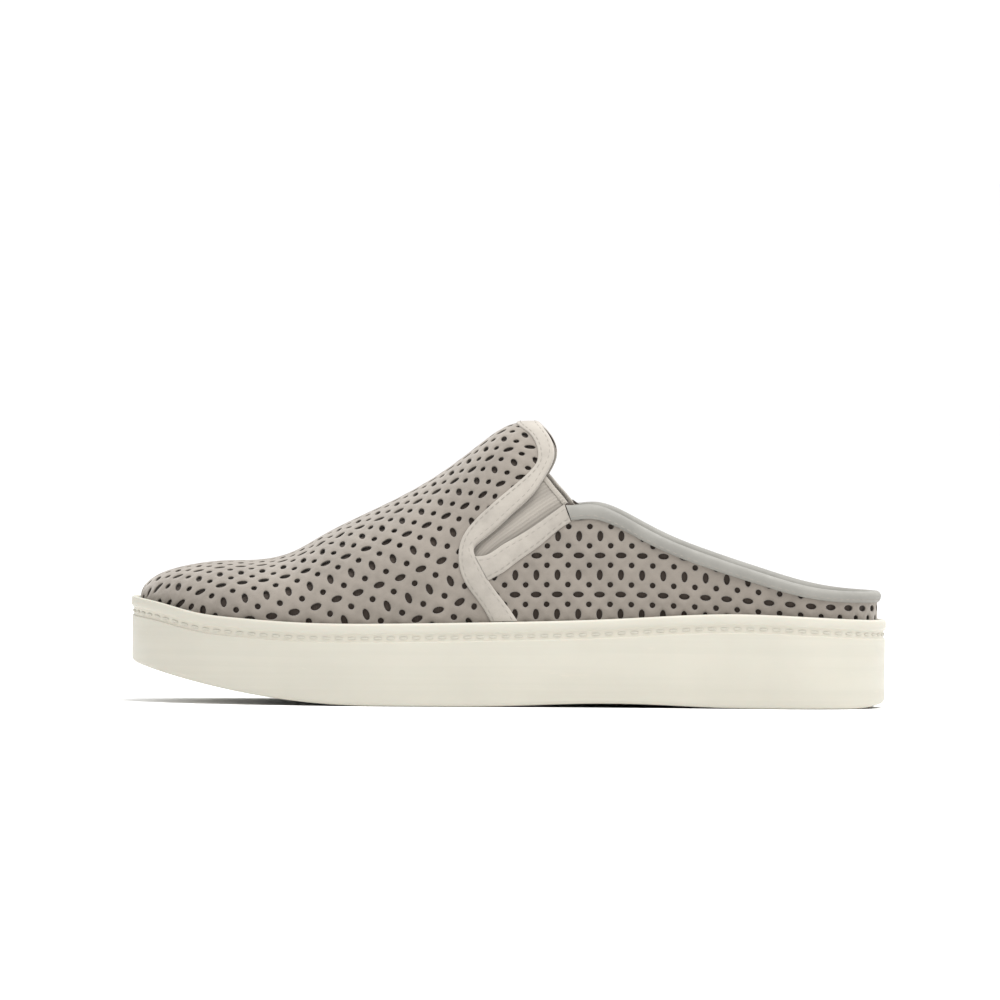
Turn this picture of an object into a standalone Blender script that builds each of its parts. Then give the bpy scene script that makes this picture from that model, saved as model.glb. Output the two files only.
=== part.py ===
"""Backless slip-on sneaker, a left shoe, standing empty on its sole.

Metres, +Z up. The toe points along -X, the outer side of the foot faces -Y, and the origin is
on the floor under the middle of the sole. Heights in the tables are shares of the named sizes,
and "along" runs from 0 at the back of the heel to 1 at the tip of the toe.
"""
import math
from collections import namedtuple

import bmesh
import bpy
import numpy as np

# Main sizes of the shoe
LENGTH = 0.270
BALL_WIDTH = 0.096
INSTEP_HEIGHT = 0.1022
QUARTER_HEIGHT = 0.0721
HEEL_HEIGHT = 0.0419

# Cup sole
SIDEWALL_HEIGHT = 0.0338
LIP_WIDTH = 0.0026
LIP_ROUND = 0.0006
TOE_SPRING = 0.0145
ARCH_RISE = 0.0030
HEEL_BEVEL = 0.0032
EDGE_ROUND = 0.0012
STITCH_BAND_DROP = 0.0030
STITCH_BAND_HEIGHT = 0.0036
STITCH_BAND_DEPTH = 0.0005
TREAD_DEPTH = 0.0016
TREAD_SLOT = 0.0030
TREAD_PITCH = 0.0095
TREAD_RIM = 0.0090

# Upper, insole and trims
WALL = 0.0018
GORE_THICKNESS = 0.0010
TRIM_THICKNESS = 0.0011
COLLAR_BAND_THICKNESS = 0.0013
COLLAR_BAND_HEIGHT = 0.0054
INSOLE_THICKNESS = 0.0045
FIT = 0.0003
BINDING_GAP = 0.0004

# Where the flat heel, the arch, the flat forefoot and the toe spring follow each other
BEVEL_END_SHARE = 0.045
ARCH_START_SHARE = 0.16
ARCH_END_SHARE = 0.56
SPRING_START_SHARE = 0.66
TREAD_STRETCHES = ((0.05, 0.15), (0.565, 0.82))

# Rounding of the plan at both ends and of the toe cap's profile, as shares of the length
HEEL_ROUND_SHARE = 0.135
HEEL_POWER = 2.2
TOE_ROUND_SHARE = 0.30
TOE_POWER = 2.45
CAP_ROUND_SHARE = 0.130

# Fineness of the lofts
STATIONS = 44
ARC_ROWS = 9
BAND_ROWS = 2
EDGE_STEPS = 3
CUTTER_REACH = 0.09

STATION_ANGLES = [math.pi * i / STATIONS for i in range(STATIONS + 1)]

LATERAL = -1
MEDIAL = 1

# Plan of the sole: centre line and half width, as shares of the ball width
Plan = namedtuple("Plan", "along centre half_width")
PLAN = (
    Plan(0.00, 0.000, 0.350),
    Plan(0.12, 0.000, 0.362),
    Plan(0.25, -0.012, 0.358),
    Plan(0.38, -0.034, 0.352),
    Plan(0.50, -0.042, 0.385),
    Plan(0.61, -0.028, 0.455),
    Plan(0.71, 0.000, 0.499),
    Plan(0.80, 0.024, 0.500),
    Plan(0.90, 0.046, 0.480),
    Plan(1.00, 0.060, 0.450),
)

# Heights of the sole's upper lip and of the floor in its cup, as shares of the sidewall
Cup = namedtuple("Cup", "along lip floor")
CUP = (
    Cup(0.000, 0.932, 0.62),
    Cup(0.100, 0.976, 0.62),
    Cup(0.200, 1.000, 0.60),
    Cup(0.352, 0.941, 0.52),
    Cup(0.485, 0.902, 0.44),
    Cup(0.645, 0.876, 0.40),
    Cup(0.778, 0.879, 0.42),
    Cup(0.858, 0.918, 0.48),
    Cup(0.911, 0.966, 0.53),
    Cup(0.960, 1.060, 0.59),
    Cup(1.000, 1.115, 0.64),
)

# Sections of the last: ridge height as a share of the instep height, ridge shift towards the
# inner side as a share of the half width, and the powers that fill out side and top
Section = namedtuple("Section", "along ridge shift side top")
SECTIONS = (
    Section(0.00, 1.16, 0.00, 2.1, 2.0),
    Section(0.20, 1.14, 0.02, 2.1, 2.0),
    Section(0.35, 1.04, 0.06, 2.0, 2.0),
    Section(0.45, 0.986, 0.10, 1.95, 1.9),
    Section(0.50, 0.980, 0.12, 1.95, 1.9),
    Section(0.54, 0.911, 0.13, 2.0, 1.9),
    Section(0.59, 0.811, 0.14, 2.05, 1.95),
    Section(0.65, 0.717, 0.14, 2.1, 2.0),
    Section(0.70, 0.652, 0.13, 2.2, 2.1),
    Section(0.75, 0.583, 0.12, 2.3, 2.15),
    Section(0.785, 0.530, 0.10, 2.35, 2.2),
    Section(0.82, 0.502, 0.08, 2.4, 2.25),
    Section(0.87, 0.495, 0.06, 2.4, 2.3),
    Section(0.92, 0.500, 0.04, 2.4, 2.3),
    Section(1.00, 0.520, 0.00, 2.4, 2.3),
)

# Lines seen from the side, height as a share of the instep height
Point = namedtuple("Point", "along height")
THROAT_EDGE = (
    Point(0.4675, 1.060),
    Point(0.4652, 1.002),
    Point(0.4602, 0.984),
    Point(0.4505, 0.956),
    Point(0.4424, 0.922),
    Point(0.4393, 0.888),
    Point(0.4433, 0.846),
    Point(0.4500, 0.812),
    Point(0.4660, 0.746),
    Point(0.4878, 0.690),
    Point(0.5122, 0.628),
    Point(0.5348, 0.578),
    Point(0.5426, 0.552),
    Point(0.5400, 0.524),
)
BINDING_FOOT = (
    Point(0.5400, 0.524),
    Point(0.5340, 0.495),
    Point(0.5226, 0.441),
    Point(0.4998, 0.361),
    Point(0.4859, 0.309),
    Point(0.4740, 0.250),
)
BINDING_FRONT = (
    Point(0.4930, 1.060),
    Point(0.4925, 0.990),
    Point(0.4760, 0.957),
    Point(0.4622, 0.906),
    Point(0.4640, 0.857),
    Point(0.4804, 0.812),
    Point(0.5070, 0.750),
    Point(0.5304, 0.688),
    Point(0.5460, 0.635),
    Point(0.5578, 0.586),
    Point(0.5619, 0.533),
    Point(0.5590, 0.473),
    Point(0.5489, 0.418),
    Point(0.5340, 0.366),
    Point(0.5240, 0.325),
    Point(0.5120, 0.250),
)
GORE_FRONT = (
    Point(0.5630, 0.519),
    Point(0.5630, 0.587),
    Point(0.5444, 0.660),
    Point(0.5074, 0.749),
    Point(0.4778, 0.827),
    Point(0.4556, 0.834),
)

# Lines beside the quarter's front corner: 0 is the foot of the throat and 1 the quarter height
Rise = namedtuple("Rise", "along rise")
QUARTER_FRONT = (
    Rise(0.5400, 0.000),
    Rise(0.5259, 0.022),
    Rise(0.5059, 0.204),
    Rise(0.4844, 0.386),
    Rise(0.4385, 0.843),
    Rise(0.4185, 1.058),
)
QUARTER_BAND = (
    Rise(0.5226, -0.457),
    Rise(0.4998, -0.270),
    Rise(0.4844, -0.094),
    Rise(0.4541, 0.226),
    Rise(0.4296, 0.534),
    Rise(0.4096, 0.727),
)
GORE_REAR = (
    Rise(0.4104, 1.025),
    Rise(0.4000, 0.931),
    Rise(0.4000, 0.672),
    Rise(0.4259, 0.402),
    Rise(0.4704, -0.028),
    Rise(0.5074, -0.353),
    Rise(0.5370, -0.380),
)

# Topline of the quarter: 0 is the heel height and 1 is the quarter height
TOPLINE = (
    Rise(0.4096, 1.000),
    Rise(0.3850, 1.010),
    Rise(0.3689, 0.975),
    Rise(0.3304, 0.808),
    Rise(0.2870, 0.613),
    Rise(0.2437, 0.464),
    Rise(0.2067, 0.351),
    Rise(0.1652, 0.232),
    Rise(0.1185, 0.108),
    Rise(0.0667, 0.024),
    Rise(0.0000, 0.000),
)
TOPLINE_MARGIN = 0.006
CLOSED_RUN = 0.012

Finish = namedtuple("Finish", "name color roughness")
RUBBER = Finish("cream_rubber", (0.73, 0.70, 0.60), 0.55)
SUEDE = Finish("taupe_suede", (0.33, 0.29, 0.245), 0.92)
BINDING = Finish("pale_binding", (0.52, 0.47, 0.41), 0.85)
ELASTIC = Finish("grey_elastic", (0.44, 0.40, 0.345), 0.90)
COLLAR = Finish("collar_leather", (0.51, 0.49, 0.445), 0.80)
FOOTBED = Finish("footbed_fabric", (0.42, 0.38, 0.33), 0.90)


class Spline:
    """Natural cubic curve through values at given places."""

    def __init__(self, places, values):
        self.places = np.array(places, float)
        self.values = np.array(values, float)
        count = len(self.places)
        step = np.diff(self.places)
        slope = np.diff(self.values) / step
        system = np.eye(count)
        load = np.zeros(count)
        for i in range(1, count - 1):
            system[i, i - 1:i + 2] = step[i - 1], 2 * (step[i - 1] + step[i]), step[i]
            load[i] = 6 * (slope[i] - slope[i - 1])
        self.bend = np.linalg.solve(system, load)

    def at(self, place):
        place = min(max(place, self.places[0]), self.places[-1])
        i = int(np.clip(np.searchsorted(self.places, place) - 1, 0, len(self.places) - 2))
        step = self.places[i + 1] - self.places[i]
        a = (self.places[i + 1] - place) / step
        b = 1 - a
        bend = (a ** 3 - a) * self.bend[i] + (b ** 3 - b) * self.bend[i + 1]
        return a * self.values[i] + b * self.values[i + 1] + bend * step ** 2 / 6


def column(table, name):
    """Curve through one named column of a table, its rows sorted from heel to toe."""
    rows = sorted(table, key=lambda row: row.along)
    return Spline([row.along for row in rows], [getattr(row, name) for row in rows])


CENTRE = column(PLAN, "centre")
HALF_WIDTH = column(PLAN, "half_width")
LIP = column(CUP, "lip")
FLOOR = column(CUP, "floor")
RIDGE = column(SECTIONS, "ridge")
SHIFT = column(SECTIONS, "shift")
SIDE_POWER = column(SECTIONS, "side")
TOP_POWER = column(SECTIONS, "top")
TOPLINE_RISE = column(TOPLINE, "rise")


def share(value, start, end):
    """How far a value has gone from start to end, kept between 0 and 1."""
    return min(max((value - start) / (end - start), 0.0), 1.0)


def x_of(along):
    return LENGTH * (0.5 - along)


def along_of(x):
    return 0.5 - x / LENGTH


def end_rounding(along):
    """Closes the plan at the heel and at the toe like half a rounded ellipse."""
    heel = (1 - (1 - share(along, 0, HEEL_ROUND_SHARE)) ** HEEL_POWER) ** (1 / HEEL_POWER)
    toe = (1 - (1 - share(1 - along, 0, TOE_ROUND_SHARE)) ** TOE_POWER) ** (1 / TOE_POWER)
    return heel * toe


def plan_point(angle):
    """Outline of the sole: 0 is the back of the heel, pi the toe, outer side first."""
    along = (1 - math.cos(angle)) / 2
    side = LATERAL if math.sin(angle) > 0 else MEDIAL
    width = side * HALF_WIDTH.at(along) * end_rounding(along)
    return np.array((x_of(along), BALL_WIDTH * (CENTRE.at(along) + width)))


PLAN_SAMPLES = [plan_point(2 * math.pi * i / 360)[1] for i in range(360)]
PLAN_MIDDLE = np.array((0.0, (max(PLAN_SAMPLES) + min(PLAN_SAMPLES)) / 2))


def outline(angle, inset):
    """Point of the sole's outline moved squarely inwards."""
    nudge = 0.0005
    across, along = plan_point(angle + nudge) - plan_point(angle - nudge)
    inward = np.array((along, -across)) / math.hypot(across, along)
    return plan_point(angle) - PLAN_MIDDLE + inward * inset


def lip_height(x):
    return SIDEWALL_HEIGHT * LIP.at(along_of(x))


def floor_height(x):
    return SIDEWALL_HEIGHT * FLOOR.at(along_of(x))


def bottom_height(x):
    """Underside of the sole: heel bevel, arch and toe spring above the floor."""
    along = along_of(x)
    bevel = HEEL_BEVEL * (1 - share(along, 0, BEVEL_END_SHARE)) ** 2
    arch = ARCH_RISE * math.sin(math.pi * share(along, ARCH_START_SHARE, ARCH_END_SHARE)) ** 2
    spring = TOE_SPRING * share(along, SPRING_START_SHARE, 1) ** 2
    return bevel + arch + spring


def topline_height(x):
    return HEEL_HEIGHT + (QUARTER_HEIGHT - HEEL_HEIGHT) * TOPLINE_RISE.at(along_of(x))


SKIN_INSET = LIP_WIDTH + FIT


def side_reach(x, lip, top, power):
    """Share of a section's arc that is made: all of it up to the throat, the wall behind it."""
    closed_end = x_of(THROAT_EDGE[0].along) + CLOSED_RUN
    open_share = share(x, closed_end, closed_end + CLOSED_RUN)
    if open_share == 0:
        return 1.0
    wanted = topline_height(x) + TOPLINE_MARGIN
    height = top + (wanted - top) * open_share
    level = share(height, lip, top)
    return math.asin(level ** (power / 2)) / (math.pi / 2)


def rib(angle, side):
    """One side of a section of the last, from the cup's floor up over the instep."""
    foot = outline(-side * angle, SKIN_INSET)
    other = outline(side * angle, SKIN_INSET)
    tip_x = outline(math.pi, SKIN_INSET)[0]
    middle = (foot + other) / 2
    along = along_of(middle[0])
    ridge = middle + np.array((0.0, abs(foot[1] - middle[1]) * SHIFT.at(along)))
    lip = lip_height(foot[0])
    cap = math.sqrt(1 - (1 - share(middle[0], tip_x, tip_x + CAP_ROUND_SHARE * LENGTH)) ** 2)
    top = lip_height(middle[0]) + (INSTEP_HEIGHT * RIDGE.at(along) - lip_height(middle[0])) * cap
    reach = side_reach(middle[0], lip, top, TOP_POWER.at(along))
    start = floor_height(foot[0]) + FIT
    points = []
    for i in range(BAND_ROWS):
        points.append((foot[0], foot[1], start + (lip - start) * i / BAND_ROWS))
    for i in range(ARC_ROWS + 1):
        turn = math.pi / 2 * reach * i / ARC_ROWS
        out = max(math.cos(turn), 0.0) ** (2 / SIDE_POWER.at(along))
        up = math.sin(turn) ** (2 / TOP_POWER.at(along))
        place = ridge + (foot - ridge) * out
        points.append((place[0], place[1], lip + (top - lip) * up))
    return points


def grid_mesh(name, rows):
    """Mesh through a grid of points, with coincident points joined and faces turned out."""
    mesh = bpy.data.meshes.new(name)
    shell = bmesh.new()
    for side_rows in rows:
        verts = [[shell.verts.new(point) for point in row] for row in side_rows]
        for row, following in zip(verts, verts[1:]):
            for i in range(len(row) - 1):
                shell.faces.new((row[i], row[i + 1], following[i + 1], following[i]))
    bmesh.ops.remove_doubles(shell, verts=shell.verts, dist=0.00001)
    bmesh.ops.dissolve_degenerate(shell, edges=shell.edges, dist=0.00001)
    bmesh.ops.triangulate(shell, faces=shell.faces)
    bmesh.ops.recalc_face_normals(shell, faces=shell.faces)
    shell.to_mesh(mesh)
    shell.free()
    return mesh


def material(finish):
    """Principled material of one finish, made once."""
    found = bpy.data.materials.get(finish.name)
    if found:
        return found
    made = bpy.data.materials.new(finish.name)
    made.use_nodes = True
    shader = made.node_tree.nodes["Principled BSDF"]
    shader.inputs["Base Color"].default_value = (*finish.color, 1.0)
    shader.inputs["Roughness"].default_value = finish.roughness
    made.diffuse_color = (*finish.color, 1.0)
    return made


def add_part(name, mesh, finish):
    part = bpy.data.objects.new(name, mesh)
    part.data.materials.append(material(finish))
    bpy.data.collections["slip_on_sneaker"].objects.link(part)
    return part


def add_cutter(name, mesh):
    cutter = bpy.data.objects.new(name, mesh)
    cutter.hide_render = True
    cutter.display_type = "WIRE"
    bpy.data.collections["cutters"].objects.link(cutter)
    return cutter


def combine(part, cutter, operation):
    boolean = part.modifiers.new(operation.title(), "BOOLEAN")
    boolean.object = cutter
    boolean.operation = operation
    boolean.solver = "EXACT"


def side_spots(points):
    """Table of points seen from the side, as x and z."""
    return [np.array((x_of(point.along), INSTEP_HEIGHT * point.height)) for point in points]


def corner_spots(rises):
    """Table of rises beside the quarter's front corner, as x and z."""
    foot = INSTEP_HEIGHT * THROAT_EDGE[-1].height
    climb = QUARTER_HEIGHT - foot
    return [np.array((x_of(row.along), foot + climb * row.rise)) for row in rises]


def smooth_line(spots):
    """Smooth line through a few places seen from the side."""
    travel = [0.0]
    for before, after in zip(spots, spots[1:]):
        travel.append(travel[-1] + float(np.linalg.norm(after - before)))
    across = Spline(travel, [spot[0] for spot in spots])
    upward = Spline(travel, [spot[1] for spot in spots])
    line = []
    for before, after in zip(travel, travel[1:]):
        for i in range(EDGE_STEPS):
            place = before + (after - before) * i / EDGE_STEPS
            line.append((across.at(place), upward.at(place)))
    line.append(tuple(spots[-1]))
    return line


def topline(drop=0.0):
    """Topline of the quarter from its front corner to past the heel."""
    spots = [np.array((x_of(row.along), topline_height(x_of(row.along)) - drop)) for row in TOPLINE]
    return smooth_line(spots)


def side_prism(name, line, y_low=-CUTTER_REACH, y_high=CUTTER_REACH):
    """Solid that covers an area seen from the side, from one y to another."""
    mesh = bpy.data.meshes.new(name)
    shell = bmesh.new()
    face = shell.faces.new([shell.verts.new((x, y_low, z)) for x, z in line])
    grown = bmesh.ops.extrude_face_region(shell, geom=[face])
    moved = [item for item in grown["geom"] if isinstance(item, bmesh.types.BMVert)]
    bmesh.ops.translate(shell, verts=moved, vec=(0, y_high - y_low, 0))
    bmesh.ops.recalc_face_normals(shell, faces=shell.faces)
    shell.to_mesh(mesh)
    shell.free()
    return add_cutter(name, mesh)


def last_skin(name):
    """Outer surface of the upper, open underneath and above the quarter."""
    sides = [[rib(angle, side) for angle in STATION_ANGLES] for side in (LATERAL, MEDIAL)]
    return grid_mesh(name, sides)


def skin_layer(name, finish, lift, thickness):
    """Layer of the upper: the skin moved out by lift and thickened outwards from there."""
    part = add_part(name, last_skin(name), finish)
    if lift:
        move = part.modifiers.new("Lift", "DISPLACE")
        move.strength = lift
        move.mid_level = 0.0
    wall = part.modifiers.new("Wall", "SOLIDIFY")
    wall.thickness = abs(thickness)
    wall.offset = math.copysign(1.0, thickness)
    return part


def make_outsole():
    """Cup sole: tread, sidewall with its stitch band, lip and cup."""
    band_top = STITCH_BAND_DROP
    band_foot = STITCH_BAND_DROP + STITCH_BAND_HEIGHT
    slope = STITCH_BAND_DEPTH
    sides = []
    for side in (1, -1):
        rows = []
        for angle in STATION_ANGLES:
            x, y = outline(side * angle, 0)
            low = bottom_height(x)
            lip = lip_height(x)
            cup = outline(side * angle, LIP_WIDTH)
            profile = (
                (EDGE_ROUND, low),
                (0, low + EDGE_ROUND),
                (0, lip - band_foot),
                (STITCH_BAND_DEPTH, lip - band_foot + slope),
                (STITCH_BAND_DEPTH, lip - band_top - slope),
                (0, lip - band_top),
                (0, lip - LIP_ROUND),
                (LIP_ROUND, lip),
            )
            row = [(*outline(side * angle, inset), z) for inset, z in profile]
            rows.append(row + [(*cup, lip), (*cup, floor_height(cup[0]))])
        sides.append(rows)
    underside = [[outer[0], inner[0]] for outer, inner in zip(*sides)]
    cup_floor = [[outer[-1], inner[-1]] for outer, inner in zip(*sides)]
    mesh = grid_mesh("outsole", [*sides, underside, cup_floor])
    part = add_part("outsole", mesh, RUBBER)
    combine(part, tread_cutter(), "DIFFERENCE")
    return part


def tread_cutter():
    """Slots across the heel and the forefoot that leave the tread's bars between them."""
    mesh = bpy.data.meshes.new("tread_slots")
    slots = bmesh.new()
    for start, end in TREAD_STRETCHES:
        count = int((end - start) * LENGTH / TREAD_PITCH)
        for i in range(count + 1):
            x = x_of(start) - i * TREAD_PITCH
            along = along_of(x)
            half = BALL_WIDTH * HALF_WIDTH.at(along) * end_rounding(along) - TREAD_RIM
            middle = BALL_WIDTH * CENTRE.at(along) - PLAN_MIDDLE[1]
            made = bmesh.ops.create_cube(slots, size=1.0)["verts"]
            bmesh.ops.scale(slots, vec=(TREAD_SLOT, 2 * half, 2 * TREAD_DEPTH), verts=made)
            bmesh.ops.translate(slots, vec=(x, middle, bottom_height(x)), verts=made)
    slots.to_mesh(mesh)
    slots.free()
    return add_cutter("tread_slots", mesh)


def make_insole():
    """Flat footbed that lies in the cup inside the upper."""
    inset = SKIN_INSET + WALL + FIT
    sides = []
    for side in (1, -1):
        rows = []
        for angle in STATION_ANGLES:
            x, y = outline(side * angle, inset)
            low = floor_height(x) + FIT
            high = low + INSOLE_THICKNESS
            rows.append([(x, y, low), (x, y, high)])
        sides.append(rows)
    under = [[outer[0], inner[0]] for outer, inner in zip(*sides)]
    over = [[outer[-1], inner[-1]] for outer, inner in zip(*sides)]
    return add_part("insole", grid_mesh("insole", [*sides, under, over]), FOOTBED)


def make_upper():
    """Vamp and quarters as one hollow wall, open at the topline, throat and gores."""
    part = skin_layer("upper", SUEDE, 0.0, -WALL)
    line = smooth_line(side_spots(THROAT_EDGE))
    line += smooth_line(corner_spots(QUARTER_FRONT))[1:]
    line += topline()
    line += [(x_of(0) + CUTTER_REACH, HEEL_HEIGHT)]
    line += [(x_of(0) + CUTTER_REACH, INSTEP_HEIGHT + CUTTER_REACH)]
    line += [(x_of(THROAT_EDGE[0].along), INSTEP_HEIGHT + CUTTER_REACH)]
    combine(part, side_prism("foot_opening", line), "DIFFERENCE")
    return part


def make_gore(name, side):
    """Elastic panel behind the gap between vamp and quarter on one side."""
    part = skin_layer(name, ELASTIC, -(WALL + FIT), -GORE_THICKNESS)
    line = corner_spots(GORE_REAR) + side_spots(GORE_FRONT)
    low, high = sorted((0.0, side * CUTTER_REACH))
    combine(part, side_prism(name + "_area", line, low, high), "INTERSECT")
    return part


def binding_area():
    """Side view of the binding, from over the throat down to just above the sole's lip."""
    rear = smooth_line(side_spots(THROAT_EDGE)) + smooth_line(side_spots(BINDING_FOOT))[1:]
    front = smooth_line(side_spots(BINDING_FRONT))
    return down_to_lip(rear) + down_to_lip(front)[::-1]


def down_to_lip(line):
    """The part of a line that stays clear of the sole's lip, ending just above it."""
    kept = [line[0]]
    for (x, z), (next_x, next_z) in zip(line, line[1:]):
        limit = lip_height(next_x) + FIT
        if next_z < limit:
            fraction = (z - limit) / (z - next_z)
            kept.append((x + (next_x - x) * fraction, limit))
            break
        kept.append((next_x, next_z))
    return kept


def make_vamp_trim():
    """Binding over the throat and down both sides of the vamp to the sole."""
    part = skin_layer("vamp_trim", BINDING, FIT, TRIM_THICKNESS)
    combine(part, side_prism("vamp_trim_area", binding_area()), "INTERSECT")
    return part


def make_quarter_trim(name, side):
    """Band along the front edge of one quarter, between binding and collar."""
    part = skin_layer(name, BINDING, FIT, TRIM_THICKNESS)
    corner = (x_of(TOPLINE[0].along), QUARTER_HEIGHT)
    front = smooth_line(corner_spots(QUARTER_FRONT))
    line = front + [corner] + smooth_line(corner_spots(QUARTER_BAND))[::-1]
    low, high = sorted((0.0, side * CUTTER_REACH))
    combine(part, side_prism(name + "_area", line, low, high), "INTERSECT")
    binding = [(x + BINDING_GAP, z) for x, z in binding_area()]
    combine(part, side_prism(name + "_clearance", binding), "DIFFERENCE")
    return part


def make_collar_band():
    """Smooth band along the topline from one gore round the heel to the other."""
    part = skin_layer("collar_band", COLLAR, FIT, COLLAR_BAND_THICKNESS)
    end = x_of(0) + CUTTER_REACH
    line = topline() + [(end, HEEL_HEIGHT), (end, HEEL_HEIGHT - COLLAR_BAND_HEIGHT)]
    line += topline(COLLAR_BAND_HEIGHT)[::-1]
    line = [(x + BINDING_GAP, z) for x, z in line]
    combine(part, side_prism("collar_band_area", line), "INTERSECT")
    return part


def clear_scene():
    for thing in list(bpy.data.objects):
        bpy.data.objects.remove(thing)
    for name in ("slip_on_sneaker", "cutters"):
        bpy.context.scene.collection.children.link(bpy.data.collections.new(name))


def main():
    clear_scene()
    make_outsole()
    make_insole()
    make_upper()
    make_gore("gore_lateral", LATERAL)
    make_gore("gore_medial", MEDIAL)
    make_vamp_trim()
    make_quarter_trim("quarter_trim_lateral", LATERAL)
    make_quarter_trim("quarter_trim_medial", MEDIAL)
    make_collar_band()


main()
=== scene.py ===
"""Dresses the slip-on sneaker: punched suede, elastic gores, bindings, padded collar, cup sole.

Metres, +Z up. The toe points along -X and the outer side of the foot faces -Y. "Along" runs from
0 at the back of the heel to 1 at the tip of the toe, and the heights in the tables are shares of
a named size. The panels are cut from flat sheets and laid onto the last by distances on it.
"""
import math
from collections import namedtuple

import bmesh
import bpy
import numpy as np
from bpy.props import FloatProperty, FloatVectorProperty, PointerProperty
from mathutils import Matrix, Vector


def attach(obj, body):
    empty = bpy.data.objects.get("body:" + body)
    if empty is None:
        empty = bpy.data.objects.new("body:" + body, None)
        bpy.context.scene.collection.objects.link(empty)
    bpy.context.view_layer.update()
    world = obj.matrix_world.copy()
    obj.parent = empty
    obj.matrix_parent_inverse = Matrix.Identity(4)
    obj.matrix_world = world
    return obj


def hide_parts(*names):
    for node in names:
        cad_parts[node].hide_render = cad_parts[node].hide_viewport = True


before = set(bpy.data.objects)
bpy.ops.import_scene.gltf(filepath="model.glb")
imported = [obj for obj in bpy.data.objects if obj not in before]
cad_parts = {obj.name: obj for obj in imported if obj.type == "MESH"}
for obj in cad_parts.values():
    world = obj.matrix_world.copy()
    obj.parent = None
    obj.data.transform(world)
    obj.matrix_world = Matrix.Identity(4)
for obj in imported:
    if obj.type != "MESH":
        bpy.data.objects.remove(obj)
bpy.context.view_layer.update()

bl_info = {
    "name": "Slip-on sneaker",
    "version": (1, 0, 0),
    "blender": (4, 5, 0),
    "location": "3D View > Sidebar > Sneaker",
    "description": "Punched suede upper, gores, bindings, collar, footbed and cup sole of a sneaker",
    "category": "Object",
}

# Main sizes of the last and the sole, as the solids have them
LENGTH = 0.270
BALL_WIDTH = 0.096
INSTEP_HEIGHT = 0.1022
QUARTER_HEIGHT = 0.0721
HEEL_HEIGHT = 0.0419
SIDEWALL_HEIGHT = 0.0338
LIP_WIDTH = 0.0026
TOE_SPRING = 0.0145
ARCH_RISE = 0.0015
HEEL_BEVEL = 0.0020
WALL = 0.0018
FIT = 0.0003
INSOLE_THICKNESS = 0.0045
COLLAR_BAND_HEIGHT = 0.0054
COLLAR_HEEL_HEIGHT = 0.0040

# Shares of the length where the sole's stretches and the roundings end
BEVEL_END_SHARE = 0.045
ARCH_START_SHARE = 0.16
ARCH_END_SHARE = 0.56
SPRING_START_SHARE = 0.66
HEEL_ROUND_SHARE = 0.135
HEEL_POWER = 2.2
TOE_ROUND_SHARE = 0.30
TOE_POWER = 2.45
CAP_ROUND_SHARE = 0.130

LATERAL = -1
MEDIAL = 1

Plan = namedtuple("Plan", "along centre half_width")
PLAN = (
    Plan(0.00, 0.000, 0.350),
    Plan(0.12, 0.000, 0.362),
    Plan(0.25, -0.012, 0.358),
    Plan(0.38, -0.034, 0.352),
    Plan(0.50, -0.042, 0.385),
    Plan(0.61, -0.028, 0.455),
    Plan(0.71, 0.000, 0.499),
    Plan(0.80, 0.024, 0.500),
    Plan(0.90, 0.046, 0.480),
    Plan(1.00, 0.060, 0.450),
)
Cup = namedtuple("Cup", "along lip floor")
CUP = (
    Cup(0.000, 0.932, 0.62),
    Cup(0.100, 0.976, 0.62),
    Cup(0.200, 1.000, 0.60),
    Cup(0.352, 0.941, 0.52),
    Cup(0.485, 0.902, 0.44),
    Cup(0.645, 0.876, 0.40),
    Cup(0.778, 0.879, 0.42),
    Cup(0.858, 0.918, 0.48),
    Cup(0.911, 0.966, 0.53),
    Cup(0.960, 1.060, 0.59),
    Cup(1.000, 1.115, 0.64),
)
Section = namedtuple("Section", "along ridge shift side top")
SECTIONS = (
    Section(0.00, 1.16, 0.00, 2.1, 2.0),
    Section(0.20, 1.14, 0.02, 2.1, 2.0),
    Section(0.35, 1.04, 0.06, 2.0, 2.0),
    Section(0.45, 0.986, 0.10, 1.95, 1.9),
    Section(0.50, 0.980, 0.12, 1.95, 1.9),
    Section(0.54, 0.911, 0.13, 2.0, 1.9),
    Section(0.59, 0.811, 0.14, 2.05, 1.95),
    Section(0.65, 0.717, 0.14, 2.1, 2.0),
    Section(0.70, 0.652, 0.13, 2.2, 2.1),
    Section(0.75, 0.583, 0.12, 2.3, 2.15),
    Section(0.785, 0.530, 0.10, 2.35, 2.2),
    Section(0.82, 0.502, 0.08, 2.4, 2.25),
    Section(0.87, 0.495, 0.06, 2.4, 2.3),
    Section(0.92, 0.500, 0.04, 2.4, 2.3),
    Section(1.00, 0.520, 0.00, 2.4, 2.3),
)

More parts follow.
